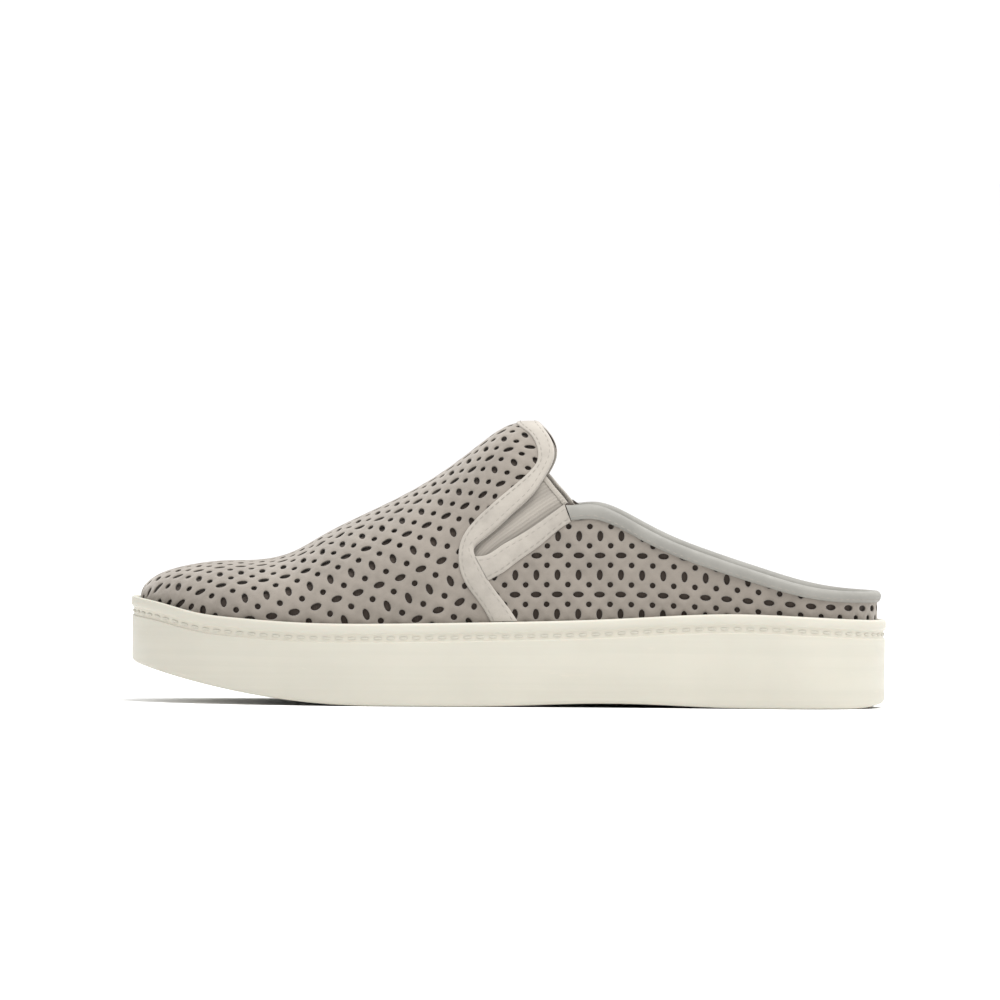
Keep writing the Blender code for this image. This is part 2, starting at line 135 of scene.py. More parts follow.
# Lines seen from the side, height as a share of the instep height
Point = namedtuple("Point", "along height")
THROAT_EDGE = (
    Point(0.4675, 1.060),
    Point(0.4652, 1.002),
    Point(0.4602, 0.984),
    Point(0.4505, 0.956),
    Point(0.4424, 0.922),
    Point(0.4393, 0.888),
    Point(0.4433, 0.846),
    Point(0.4500, 0.812),
    Point(0.4660, 0.746),
    Point(0.4878, 0.690),
    Point(0.5122, 0.628),
    Point(0.5348, 0.578),
    Point(0.5426, 0.552),
    Point(0.5400, 0.524),
    Point(0.5340, 0.495),
    Point(0.5226, 0.441),
    Point(0.4998, 0.361),
    Point(0.4859, 0.309),
    Point(0.4740, 0.250),
)
BINDING_FRONT = (
    Point(0.4930, 1.060),
    Point(0.4925, 0.990),
    Point(0.4760, 0.957),
    Point(0.4622, 0.906),
    Point(0.4610, 0.857),
    Point(0.4732, 0.812),
    Point(0.5000, 0.750),
    Point(0.5265, 0.688),
    Point(0.5460, 0.635),
    Point(0.5578, 0.586),
    Point(0.5619, 0.533),
    Point(0.5590, 0.473),
    Point(0.5489, 0.418),
    Point(0.5340, 0.366),
    Point(0.5240, 0.325),
    Point(0.5120, 0.250),
)
THROAT_FOOT = 0.524
GORE_FRONT = (
    Point(0.5630, 0.519),
    Point(0.5630, 0.587),
    Point(0.5444, 0.660),
    Point(0.5074, 0.749),
    Point(0.4720, 0.812),
    Point(0.4556, 0.834),
)

# Lines beside the quarter's front corner: 0 is the foot of the throat and 1 the quarter height
Rise = namedtuple("Rise", "along rise")
QUARTER_FRONT = (
    Rise(0.5400, 0.000),
    Rise(0.5259, 0.022),
    Rise(0.5059, 0.204),
    Rise(0.4844, 0.386),
    Rise(0.4385, 0.843),
    Rise(0.4185, 1.058),
)
QUARTER_BAND = (
    Rise(0.5226, -0.457),
    Rise(0.4998, -0.270),
    Rise(0.4844, -0.094),
    Rise(0.4541, 0.226),
    Rise(0.4296, 0.534),
    Rise(0.4096, 0.727),
)

# Topline of the quarter: 0 is the heel height and 1 is the quarter height
TOPLINE = (
    Rise(0.4096, 1.000),
    Rise(0.3850, 1.010),
    Rise(0.3689, 0.975),
    Rise(0.3304, 0.808),
    Rise(0.2870, 0.613),
    Rise(0.2437, 0.464),
    Rise(0.2067, 0.351),
    Rise(0.1652, 0.232),
    Rise(0.1185, 0.108),
    Rise(0.0667, 0.024),
    Rise(0.0000, 0.000),
)

# How far the rows across the vamp lean back on their way down, in degrees
Lean = namedtuple("Lean", "along degrees")
LEAN = (
    Lean(0.44, 25.0),
    Lean(0.56, 26.0),
    Lean(0.66, 23.5),
    Lean(0.785, 18.0),
    Lean(0.87, 12.0),
    Lean(0.93, 8.0),
    Lean(1.00, 0.0),
)

# Punched sheets before they are trimmed: where one lying oval falls along the panel, how many
# columns and rows the sheet starts before it, and how many columns and pairs of rows it has
Sheet = namedtuple("Sheet", "oval before under columns pairs")
VAMP_SHEET = Sheet(-0.00186, 2, 11, 27, 12)
QUARTER_SHEET = Sheet(-0.10946, 8, 2, 45, 4)
EDGE_HIDDEN = 0.0035
LIP_CLEARANCE = 0.0002

# The quarters' rows lie closer than the ovals of a row
QUARTER_ROW_SHARE = 0.926

# Height of the quarters' lowest lying row above the lip, by the distance from the heel's back
RowHeight = namedtuple("RowHeight", "run height")
QUARTER_ROW = (
    RowHeight(0.000, 0.0042),
    RowHeight(0.020, 0.0040),
    RowHeight(0.040, 0.0038),
    RowHeight(0.060, 0.0044),
    RowHeight(0.080, 0.0060),
    RowHeight(0.095, 0.0074),
    RowHeight(0.110, 0.0086),
    RowHeight(0.130, 0.0094),
    RowHeight(0.175, 0.0100),
)

# Spacing of the vamp's lengthwise rows by the distance from the throat: the first is the pace
# at the ridge, and spread widens each next row, where the suede is pulled down the sides
Rows = namedtuple("Rows", "run pace spread")
VAMP_ROWS = (
    Rows(-0.020, 0.00660, 0.00000),
    Rows(0.022, 0.00660, 0.00000),
    Rows(0.037, 0.00700, 0.00003),
    Rows(0.052, 0.00728, 0.00006),
    Rows(0.060, 0.00775, 0.00002),
    Rows(0.067, 0.00812, 0.00000),
    Rows(0.082, 0.00845, 0.00000),
    Rows(0.090, 0.00840, 0.00000),
    Rows(0.097, 0.00790, 0.00006),
    Rows(0.105, 0.00715, 0.00013),
    Rows(0.112, 0.00695, 0.00013),
    Rows(0.130, 0.00680, 0.00008),
    Rows(0.180, 0.00660, 0.00004),
)

# Soft waves of the vamp where it bends with the foot
Crease = namedtuple("Crease", "along start end tilt width height")
CREASES = (
    Crease(0.725, 0.010, 0.052, 0.20, 0.0040, 0.00050),
    Crease(0.755, 0.004, 0.048, 0.12, 0.0034, 0.00042),
    Crease(0.690, 0.016, 0.058, 0.28, 0.0046, 0.00040),
)


class SneakerSizes(bpy.types.PropertyGroup):
    """Sizes of the work on the shoe's surface."""

    hole_pitch: FloatProperty(
        name="Hole pitch", description="Distance between the punched ovals of a row",
        default=0.00756, min=0.005, unit="LENGTH")
    oval_length: FloatProperty(
        name="Oval length", description="Longer side of a punched oval",
        default=0.0038, unit="LENGTH")
    oval_width: FloatProperty(
        name="Oval width", description="Shorter side of a punched oval",
        default=0.0021, unit="LENGTH")
    pinhole_width: FloatProperty(
        name="Pinhole width", description="Width of the small round holes between the ovals",
        default=0.0020, unit="LENGTH")
    suede_thickness: FloatProperty(
        name="Suede thickness", description="Thickness of the punched suede",
        default=0.0011, unit="LENGTH")
    sole_stitch: FloatProperty(
        name="Sole stitch", description="Length of a stitch in the sole's groove",
        default=0.0034, unit="LENGTH")
    trim_stitch: FloatProperty(
        name="Trim stitch", description="Length of a stitch on the bindings",
        default=0.0019, unit="LENGTH")
    tread_pitch: FloatProperty(
        name="Tread pitch", description="Distance between the grooves of the tread",
        default=0.0095, unit="LENGTH")


class SneakerColors(bpy.types.PropertyGroup):
    """Colours of the shoe's finishes."""

    suede: FloatVectorProperty(
        name="Suede", description="Punched suede of vamp and quarters",
        default=(0.186, 0.164, 0.140), subtype="COLOR", min=0, max=1)
    binding: FloatVectorProperty(
        name="Binding", description="Smooth strips round the throat and on the quarters",
        default=(0.300, 0.276, 0.243), subtype="COLOR", min=0, max=1)
    elastic: FloatVectorProperty(
        name="Elastic", description="Gores between vamp and quarters",
        default=(0.286, 0.262, 0.229), subtype="COLOR", min=0, max=1)
    collar: FloatVectorProperty(
        name="Collar", description="Padded band along the topline",
        default=(0.208, 0.202, 0.182), subtype="COLOR", min=0, max=1)
    rubber: FloatVectorProperty(
        name="Rubber", description="Cup sole",
        default=(0.432, 0.414, 0.355), subtype="COLOR", min=0, max=1)
    # The lining cloth is dark, and its darkness also stands in for the shade seen through the punched
    # holes
    lining: FloatVectorProperty(
        name="Lining", description="Cloth behind the punched suede",
        default=(0.050, 0.038, 0.030), subtype="COLOR", min=0, max=1)
    footbed: FloatVectorProperty(
        name="Footbed", description="Cloth top of the insole",
        default=(0.420, 0.375, 0.320), subtype="COLOR", min=0, max=1)


class Spline:
    """Natural cubic curve through values at given places."""

    def __init__(self, places, values):
        self.places = np.array(places, float)
        self.values = np.array(values, float)
        count = len(self.places)
        step = np.diff(self.places)
        slope = np.diff(self.values) / step
        system = np.eye(count)
        load = np.zeros(count)
        for i in range(1, count - 1):
            system[i, i - 1:i + 2] = step[i - 1], 2 * (step[i - 1] + step[i]), step[i]
            load[i] = 6 * (slope[i] - slope[i - 1])
        self.bend = np.linalg.solve(system, load)

    def at(self, place):
        place = np.clip(place, self.places[0], self.places[-1])
        i = np.clip(np.searchsorted(self.places, place) - 1, 0, len(self.places) - 2)
        step = self.places[i + 1] - self.places[i]
        a = (self.places[i + 1] - place) / step
        b = 1 - a
        bend = (a ** 3 - a) * self.bend[i] + (b ** 3 - b) * self.bend[i + 1]
        return a * self.values[i] + b * self.values[i + 1] + bend * step ** 2 / 6


def column(table, name):
    """Curve through one named column of a table, its rows sorted from heel to toe."""
    rows = sorted(table, key=lambda row: row.along)
    return Spline([row.along for row in rows], [getattr(row, name) for row in rows])


CENTRE = column(PLAN, "centre")
HALF_WIDTH = column(PLAN, "half_width")
LIP = column(CUP, "lip")
FLOOR = column(CUP, "floor")
RIDGE = column(SECTIONS, "ridge")
SHIFT = column(SECTIONS, "shift")
SIDE_POWER = column(SECTIONS, "side")
TOP_POWER = column(SECTIONS, "top")
TOPLINE_RISE = column(TOPLINE, "rise")
LEAN_DEGREES = column(LEAN, "degrees")


def share(value, start, end):
    """How far a value has gone from start to end, kept between 0 and 1."""
    return np.clip((value - start) / (end - start), 0.0, 1.0)


def x_of(along):
    return LENGTH * (0.5 - along)


def along_of(x):
    return 0.5 - x / LENGTH


def end_rounding(along):
    """Closes the plan at the heel and at the toe like half a rounded ellipse."""
    heel = (1 - (1 - share(along, 0, HEEL_ROUND_SHARE)) ** HEEL_POWER) ** (1 / HEEL_POWER)
    toe = (1 - (1 - share(1 - along, 0, TOE_ROUND_SHARE)) ** TOE_POWER) ** (1 / TOE_POWER)
    return heel * toe


def plan_point(angle):
    """Outline of the sole: 0 is the back of the heel, pi the toe, outer side first."""
    along = (1 - np.cos(angle)) / 2
    side = np.where(np.sin(angle) > 0, LATERAL, MEDIAL)
    width = side * HALF_WIDTH.at(along) * end_rounding(along)
    return np.stack((x_of(along), BALL_WIDTH * (CENTRE.at(along) + width)), axis=-1)


PLAN_SAMPLES = plan_point(2 * np.pi * np.arange(360) / 360)[:, 1]
PLAN_MIDDLE = np.array((0.0, (PLAN_SAMPLES.max() + PLAN_SAMPLES.min()) / 2))


def outline(angle, inset):
    """Points of the sole's outline moved squarely inwards."""
    nudge = 0.0005
    ahead = plan_point(angle + nudge) - plan_point(angle - nudge)
    inward = np.stack((ahead[..., 1], -ahead[..., 0]), axis=-1)
    inward /= np.linalg.norm(inward, axis=-1, keepdims=True)
    return plan_point(angle) - PLAN_MIDDLE + inward * np.expand_dims(inset, -1)


def inset_outline(angles, inset):
    return outline(angles, np.full(len(angles), inset))


def lip_height(x):
    return SIDEWALL_HEIGHT * LIP.at(along_of(x))


def floor_height(x):
    return SIDEWALL_HEIGHT * FLOOR.at(along_of(x))


def bottom_height(x):
    """Underside of the sole: heel bevel, arch and toe spring above the floor."""
    along = along_of(x)
    bevel = HEEL_BEVEL * (1 - share(along, 0, BEVEL_END_SHARE)) ** 2
    arch = ARCH_RISE * np.sin(np.pi * share(along, ARCH_START_SHARE, ARCH_END_SHARE)) ** 2
    spring = TOE_SPRING * share(along, SPRING_START_SHARE, 1) ** 2
    return bevel + arch + spring


def topline_height(x):
    return HEEL_HEIGHT + (QUARTER_HEIGHT - HEEL_HEIGHT) * TOPLINE_RISE.at(along_of(x))


# Foot of the last on both sides, read by x from the toe to the heel
SKIN_INSET = LIP_WIDTH + FIT
FOOT_ANGLES = np.linspace(np.pi, 0, 1200)
FOOT_LINES = {
    LATERAL: outline(FOOT_ANGLES, SKIN_INSET),
    MEDIAL: outline(-FOOT_ANGLES, SKIN_INSET),
}
TOE_X = float(FOOT_LINES[LATERAL][0, 0])
HEEL_X = float(FOOT_LINES[LATERAL][-1, 0])


def foot_y(side, x):
    line = FOOT_LINES[side]
    return np.interp(x, line[:, 0], line[:, 1])


def ridge_y(x):
    outer = foot_y(LATERAL, x)
    inner = foot_y(MEDIAL, x)
    return (outer + inner) / 2 + (inner - outer) / 2 * SHIFT.at(along_of(x))


def ridge_height(x):
    lip = lip_height(x)
    cap = np.sqrt(1 - (1 - share(x, TOE_X, TOE_X + CAP_ROUND_SHARE * LENGTH)) ** 2)
    return lip + (INSTEP_HEIGHT * RIDGE.at(along_of(x)) - lip) * cap


def out_share(x, z):
    """How far out the last's side stands at a height: 1 at its foot and below, 0 at its ridge."""
    along = along_of(x)
    lip = lip_height(x)
    up = share(z, lip, np.maximum(ridge_height(x), lip + 0.00001))
    return (1 - up ** TOP_POWER.at(along)) ** (1 / SIDE_POWER.at(along))


def last_y(side, x, z):
    """Side of the last at a place seen from the side, straight down below the lip."""
    return ridge_y(x) + (foot_y(side, x) - ridge_y(x)) * out_share(x, z)


def section_shares(x, turns):
    """Shares out and up on a section of the last, by the turn from its foot to its ridge."""
    along = along_of(x)
    out = np.maximum(np.cos(turns), 0) ** (2 / SIDE_POWER.at(along))
    return out, np.sin(turns) ** (2 / TOP_POWER.at(along))


def ridge_run():
    """Places along the vamp's ridge and their distances from the throat."""
    xs = np.linspace(x_of(RIDGE_START_SHARE), TOE_X, 1500)
    run = travel(np.stack((xs, ridge_y(xs), ridge_height(xs)), axis=-1))
    return xs, run - np.interp(-x_of(THROAT_EDGE[1].along), -xs, run)


def travel(points):
    """Distances along a line of points."""
    steps = np.linalg.norm(np.diff(points, axis=0), axis=1)
    return np.concatenate(((0.0,), np.cumsum(steps)))


def resample(points, distances):
    """Points of a line at given distances from its start."""
    run = travel(points)
    return np.stack([np.interp(distances, run, points[:, i]) for i in range(3)], axis=-1)


def unit(vectors):
    return vectors / np.maximum(np.linalg.norm(vectors, axis=-1, keepdims=True), 1e-12)


class Lay:
    """Surface read by two distances on it, from points on a regular grid of them.

    Past its ends the surface goes straight on.
    """

    def __init__(self, start, step, points, turn=1):
        self.start = np.array(start)
        self.step = np.array(step)
        self.points = points
        across = np.cross(np.gradient(points, axis=0), np.gradient(points, axis=1))
        self.normals = unit(across) * turn

    def at(self, places, lift=0.0):
        spot = (places - self.start) / self.step
        most = np.array(self.points.shape[:2]) - 2
        low = np.clip(spot, 0, most).astype(int)
        part = spot - low
        found = 0
        facing = 0
        for i in (0, 1):
            for j in (0, 1):
                weight = (part[:, 0] if i else 1 - part[:, 0]) * (part[:, 1] if j else 1 - part[:, 1])
                corner = (low[:, 0] + i, low[:, 1] + j)
                found = found + self.points[corner] * weight[:, None]
                facing = facing + self.normals[corner] * weight[:, None]
        return found + unit(facing) * np.expand_dims(lift, -1)


# Grids of the lays: step along and across, and how far they reach
LAY_STEP = (0.001, 0.0005)
LAY_REACH = 0.100
LAY_DROP = 0.012
QUARTER_LAY_RUN = 0.175
QUARTER_LAY_HEIGHT = 0.060
RIDGE_START_SHARE = 0.40


def vamp_lay():
    """The vamp: distance from the throat along the ridge, and distance down from the ridge."""
    xs, run = ridge_run()
    stations = np.arange(run[0], run[-1], LAY_STEP[0])
    reach = np.arange(0, LAY_REACH, LAY_STEP[1])
    rows = []
    for start in stations:
        x0 = float(np.interp(start, run, xs))
        z0 = float(ridge_height(x0))
        slant = math.tan(math.radians(float(LEAN_DEGREES.at(along_of(x0)))))
        sides = [leaning_line(side, x0, z0, slant, reach) for side in (LATERAL, MEDIAL)]
        rows.append(np.concatenate((sides[0][:0:-1], sides[1])))
    start = (stations[0], -reach[-1])
    return Lay(start, LAY_STEP, np.array(rows), -1)


def leaning_line(side, x0, z0, slant, reach):
    """Line on the last from the ridge down one side, in a plane that leans back."""
    turns = np.linspace(np.pi / 2, 0, 70)
    x = np.full(len(turns), x0)
    for _ in range(12):
        lip = lip_height(x)
        top = np.maximum(ridge_height(x), lip)
        z = lip + (top - lip) * section_shares(x, turns)[1]
        x = np.minimum(x0 + slant * (z0 - z), HEEL_X)
    y = ridge_y(x) + (foot_y(side, x) - ridge_y(x)) * section_shares(x, turns)[0]
    line = np.stack((x, y, z), axis=-1)
    line = np.concatenate((line, [line[-1] - (0, 0, LAY_DROP)]))
    return resample(line, reach)


def quarter_lay():
    """The quarters: distance round the heel from its back, and distance up from the lip."""
    side_runs = {}
    for side, line in FOOT_LINES.items():
        points = np.column_stack((line, np.zeros(len(line))))[::-1]
        side_runs[side] = (travel(points), points)
    stations = np.arange(-QUARTER_LAY_RUN, QUARTER_LAY_RUN, LAY_STEP[0])
    levels = np.linspace(0, QUARTER_LAY_HEIGHT, 90)
    rows = []
    for station in stations:
        side = LATERAL if station < 0 else MEDIAL
        run, points = side_runs[side]
        x, y = (float(np.interp(abs(station), run, points[:, i])) for i in (0, 1))
        z = lip_height(x) + levels
        middle = float(ridge_y(x))
        line = np.stack((np.full(len(z), x), middle + (y - middle) * out_share(x, z), z), axis=-1)
        line = np.concatenate(([line[0] - (0, 0, LAY_DROP)], line))
        rows.append(resample(line, np.arange(0, QUARTER_LAY_HEIGHT, LAY_STEP[1])))
    return Lay((-QUARTER_LAY_RUN, -LAY_DROP), LAY_STEP, np.array(rows))


def side_spots(points):
    """Table of points seen from the side, as x and z."""
    return np.array([(x_of(point.along), INSTEP_HEIGHT * point.height) for point in points])


def corner_spots(rises):
    """Table of rises beside the quarter's front corner, as x and z."""
    foot = INSTEP_HEIGHT * THROAT_FOOT
    climb = QUARTER_HEIGHT - foot
    return np.array([(x_of(row.along), foot + climb * row.rise) for row in rises])


def smooth_line(spots, count=60):
    """Smooth line through a few places seen from the side."""
    run = travel(spots)
    places = np.linspace(0, run[-1], count)
    return np.stack([Spline(run, spots[:, i]).at(places) for i in (0, 1)], axis=-1)


THROAT_LINE = smooth_line(side_spots(THROAT_EDGE), 160)
BINDING_LINE = smooth_line(side_spots(BINDING_FRONT), 160)
QUARTER_LINE = smooth_line(corner_spots(QUARTER_FRONT), 40)
BAND_LINE = smooth_line(corner_spots(QUARTER_BAND), 40)


def x_on(line, z):
    """x of a line seen from the side at a height, for a line that falls all the way."""
    return np.interp(-z, -line[:, 1], line[:, 0])


def binding_middle(z):
    return (x_on(THROAT_LINE, z) + x_on(BINDING_LINE, z)) / 2


def in_vamp(points):
    """Which places belong to the vamp: in front of the binding's middle, above the hidden edge."""
    x, y, z = points.T
    return (x < binding_middle(z)) & (z > lip_height(x) - EDGE_HIDDEN)


def in_quarter(points):
    """Which places belong to the quarters: behind the binding, under band and collar."""
    x, y, z = points.T
    middle = (QUARTER_LINE + BAND_LINE) / 2
    ceiling = np.where(
        x < middle[-1, 0],
        np.interp(x, middle[:, 0], middle[:, 1]),
        topline_height(x) - COLLAR_BAND_HEIGHT / 2,
    )
    return (x > binding_middle(z)) & (z < ceiling) & (z > lip_height(x) - EDGE_HIDDEN)


def line_on_last(side, line, count):
    """A line seen from the side laid on the last, from the ridge to just over the lip."""
    heights = np.linspace(INSTEP_HEIGHT, 0.02, 4000)
    xs = x_on(line, heights)
    top = float(heights[heights < ridge_height(xs)][0])
    low = float(heights[heights > lip_height(xs) + LIP_CLEARANCE][-1])
    z = top - (top - low) * np.linspace(0, 1, 400) ** 2
    x = x_on(line, z)
    y = last_y(side, x, z)
    y[0] = float(ridge_y(x[0]))
    points = np.stack((x, y, z), axis=-1)
    return resample(points, np.linspace(0, travel(points)[-1], count))


def new_piece(name, mesh, finish):
    """Object of one finished piece, riding on the shoe's only body."""
    piece = bpy.data.objects.new(name, mesh)
    piece.data.materials.append(finish)
    bpy.context.scene.collection.objects.link(piece)
    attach(piece, "root")
    return piece


def to_mesh(name, shell, sharp=math.radians(50)):
    """Mesh of a shell, smooth but for its sharp edges."""
    for face in shell.faces:
        face.smooth = True
    for edge in shell.edges:
        if len(edge.link_faces) == 2:
            edge.smooth = edge.calc_face_angle() < sharp
    mesh = bpy.data.meshes.new(name)
    shell.to_mesh(mesh)
    shell.free()
    return mesh


def bare_object(name, shell):
    """Object of a shell that is no piece, such as a cutter or the floor."""
    mesh = bpy.data.meshes.new(name)
    shell.to_mesh(mesh)
    shell.free()
    made = bpy.data.objects.new(name, mesh)
    bpy.context.scene.collection.objects.link(made)
    return made


def thicken(piece, thickness):
    """Gives a sheet its wall, inwards."""
    wall = piece.modifiers.new("Wall", "SOLIDIFY")
    wall.thickness = thickness
    wall.offset = -1.0


def settle(piece):
    """Makes a piece's modifiers part of its mesh."""
    graph = bpy.context.evaluated_depsgraph_get()
    mesh = bpy.data.meshes.new_from_object(piece.evaluated_get(graph))
    piece.modifiers.clear()
    piece.data = mesh


def flat_grid(columns, rows):
    """Flat sheet of faces, with each vertex's column and row."""
    sheet = bmesh.new()
    bmesh.ops.create_grid(sheet, x_segments=columns, y_segments=rows, size=0.5)
    spots = np.array([vert.co for vert in sheet.verts])
    column = np.rint((spots[:, 0] + 0.5) * columns).astype(int)
    row = np.rint((spots[:, 1] + 0.5) * rows).astype(int)
    return sheet, column, row


def move_to(sheet, points):
    for vert, point in zip(sheet.verts, points.tolist()):
        vert.co = point


def skin(points, closed_columns=False, closed_rows=False, shade_and_dust=None):
    """Sheet through points[column, row], its touching edges joined and its open ends filled."""
    around = (int(closed_columns), int(closed_rows))
    points = np.pad(points, ((0, around[0]), (0, around[1]), (0, 0)), mode="wrap")
    sheet, columns, rows = flat_grid(points.shape[0] - 1, points.shape[1] - 1)
    # The rim layer carries painted shade for the suede and the gores, and a dust tint for the sole
    if shade_and_dust is not None:
        shade_and_dust = np.pad(shade_and_dust, ((0, around[0]), (0, around[1])), mode="wrap")
        rim = sheet.verts.layers.float.new("rim")
        for vert, value in zip(sheet.verts, shade_and_dust[columns, rows].tolist()):
            vert[rim] = value
    move_to(sheet, points[columns, rows])
    bmesh.ops.remove_doubles(sheet, verts=sheet.verts, dist=0.00001)
    bmesh.ops.dissolve_degenerate(sheet, edges=sheet.edges, dist=0.00001)
    if closed_rows or closed_columns:
        rim = [edge for edge in sheet.edges if edge.is_boundary]
        bmesh.ops.holes_fill(sheet, edges=rim, sides=0)
        bmesh.ops.recalc_face_normals(sheet, faces=sheet.faces)
    return sheet


# Height inside the shoe that its surfaces face away from
INSIDE_HEIGHT = 0.030


def face_out(sheet):
    """Turns an open sheet's faces away from the inside of the shoe."""
    bmesh.ops.recalc_face_normals(sheet, faces=sheet.faces)
    facing = 0.0
    for face in sheet.faces:
        centre = face.calc_center_median()
        facing += face.calc_area() * face.normal.dot(centre - Vector((centre.x, 0, INSIDE_HEIGHT)))
    if facing < 0:
        bmesh.ops.reverse_faces(sheet, faces=sheet.faces)


class Finish:
    """Material built from textures on the object's own coordinates."""

    def __init__(self, name, roughness, specular=0.35):
        self.material = bpy.data.materials.new(name)
        self.material.use_nodes = True
        self.tree = self.material.node_tree
        self.shader = self.tree.nodes["Principled BSDF"]
        self.shader.inputs["Roughness"].default_value = roughness
        self.shader.inputs["Specular IOR Level"].default_value = specular
        self.place = self.tree.nodes.new("ShaderNodeTexCoord").outputs["Object"]

    def feed(self, socket, value):
        """Links a socket to another node's output, or gives it a number, vector or colour."""
        if isinstance(value, bpy.types.NodeSocket):
            self.tree.links.new(value, socket)
        elif socket.type == "RGBA":
            socket.default_value = (*value, 1.0)
        else:
            socket.default_value = value

    def add(self, kind, **inputs):
        node = self.tree.nodes.new(kind)
        for name, value in inputs.items():
            self.feed(node.inputs[name.replace("_", " ")], value)
        return node

    def stretched(self, scale, turn=(0, 0, 0)):
        node = self.add("ShaderNodeMapping", Vector=self.place, Scale=scale, Rotation=turn)
        return node.outputs["Vector"]

    def noise(self, scale, detail=3.0, roughness=0.55, place=None):
        node = self.add("ShaderNodeTexNoise", Vector=place or self.place, Scale=scale,
                        Detail=detail, Roughness=roughness)
        return node.outputs["Fac"]

    def spread(self, value, low, high, start=0.0, end=1.0):
        node = self.add("ShaderNodeMapRange", Value=value, From_Min=low, From_Max=high,
                        To_Min=start, To_Max=end)
        return node.outputs["Result"]

    def product(self, first, second):
        node = self.tree.nodes.new("ShaderNodeMath")
        node.operation = "MULTIPLY"
        self.feed(node.inputs[0], first)
        self.feed(node.inputs[1], second)
        return node.outputs["Value"]

    def mix(self, factor, first, second):
        """Blend of two colours, which are the mix node's inputs 6 and 7."""
        node = self.tree.nodes.new("ShaderNodeMix")
        node.data_type = "RGBA"
        self.feed(node.inputs[0], factor)
        self.feed(node.inputs[6], first)
        self.feed(node.inputs[7], second)
        return node.outputs[2]

    def attribute(self, name):
        node = self.tree.nodes.new("ShaderNodeAttribute")
        node.attribute_name = name
        return node.outputs["Fac"]

    def color(self, socket):
        self.tree.links.new(socket, self.shader.inputs["Base Color"])

    def bumps(self, *layers):
        """Stacks height textures, each with its strength and depth in metres."""
        normal = None
        for height, strength, distance in layers:
            node = self.add("ShaderNodeBump", Height=height, Strength=strength, Distance=distance)
            if normal:
                self.tree.links.new(normal, node.inputs["Normal"])
            normal = node.outputs["Normal"]
        self.tree.links.new(normal, self.shader.inputs["Normal"])


def shade(color, factor):
    return tuple(min(max(value * factor, 0.0), 1.0) for value in color)


def suede_finish(name, color, nap=1.0):
    """Brushed suede: cloudy where the nap lies differently, with painted shade on the punched edges.
    """
    made = Finish(name, 0.92, 0.20)
    clouds = made.spread(made.noise(55.0, 4.0, 0.60), 0.35, 0.65)
    streaks = made.spread(made.noise(260.0, 3.0, 0.60), 0.30, 0.70)
    fibres = made.noise(2600.0, 2.0, 0.70)
    base = made.mix(clouds, shade(color, 0.87), shade(color, 1.10))
    base = made.mix(made.product(streaks, 0.45), base, shade(color, 1.18))
    base = made.mix(made.spread(fibres, 0.55, 0.75, 0.0, 0.35), base, shade(color, 0.72))
    # Painted shade: the rolled edges of the holes are darkened toward a deep brown
    rim = made.spread(made.attribute("rim"), 0.2, 1.0, 0.0, 0.75)
    made.color(made.mix(rim, base, shade(color, 0.28)))
    made.shader.inputs["Sheen Weight"].default_value = 0.35
    made.shader.inputs["Sheen Roughness"].default_value = 0.55
    made.shader.inputs["Sheen Tint"].default_value = (1.0, 0.96, 0.91, 1.0)
    made.bumps(
        (made.noise(150.0, 3.0, 0.60), 0.30 * nap, 0.00060),
        (made.noise(420.0, 3.0, 0.60), 0.30 * nap, 0.00025),
        (fibres, 0.55 * nap, 0.00012),
    )
    return made.material


def elastic_finish(color):
    """Knitted elastic: fine yarns across the modelled ribs, with painted shade in the valleys of its
    folds and ribs.
    """
    made = Finish("grey_elastic_knit", 0.88, 0.22)
    yarn = made.noise(1900.0, 2.0, 0.65, made.stretched((1.0, 1.0, 2.6)))
    painted_valley_shade = made.spread(made.attribute("rim"), 0.0, 1.0, 0.0, 0.55)
    base = made.mix(made.noise(90.0), shade(color, 0.92), shade(color, 1.08))
    made.color(made.mix(painted_valley_shade, base, shade(color, 0.55)))
    made.shader.inputs["Sheen Weight"].default_value = 0.20
    made.bumps((yarn, 0.6, 0.00015))
    return made.material


def leather_finish(color):
    """Soft smooth leather with fine grain, cloudy in tone and gloss."""
    made = Finish("collar_nappa", 0.62, 0.40)
    cells = made.add("ShaderNodeTexVoronoi", Vector=made.place, Scale=900.0)
    tint = made.spread(made.noise(70.0, 4.0), 0.35, 0.65)
    made.color(made.mix(tint, shade(color, 0.92), shade(color, 1.08)))
    gloss = made.spread(made.noise(240.0), 0.3, 0.7, 0.54, 0.72)
    made.tree.links.new(gloss, made.shader.inputs["Roughness"])
    made.bumps(
        (made.noise(160.0, 3.0), 0.25, 0.0003),
        (cells.outputs["Distance"], 0.25, 0.0001),
    )
    return made.material


DUST = (0.55, 0.50, 0.42)
GROOVE_DUST = (0.56, 0.51, 0.42)


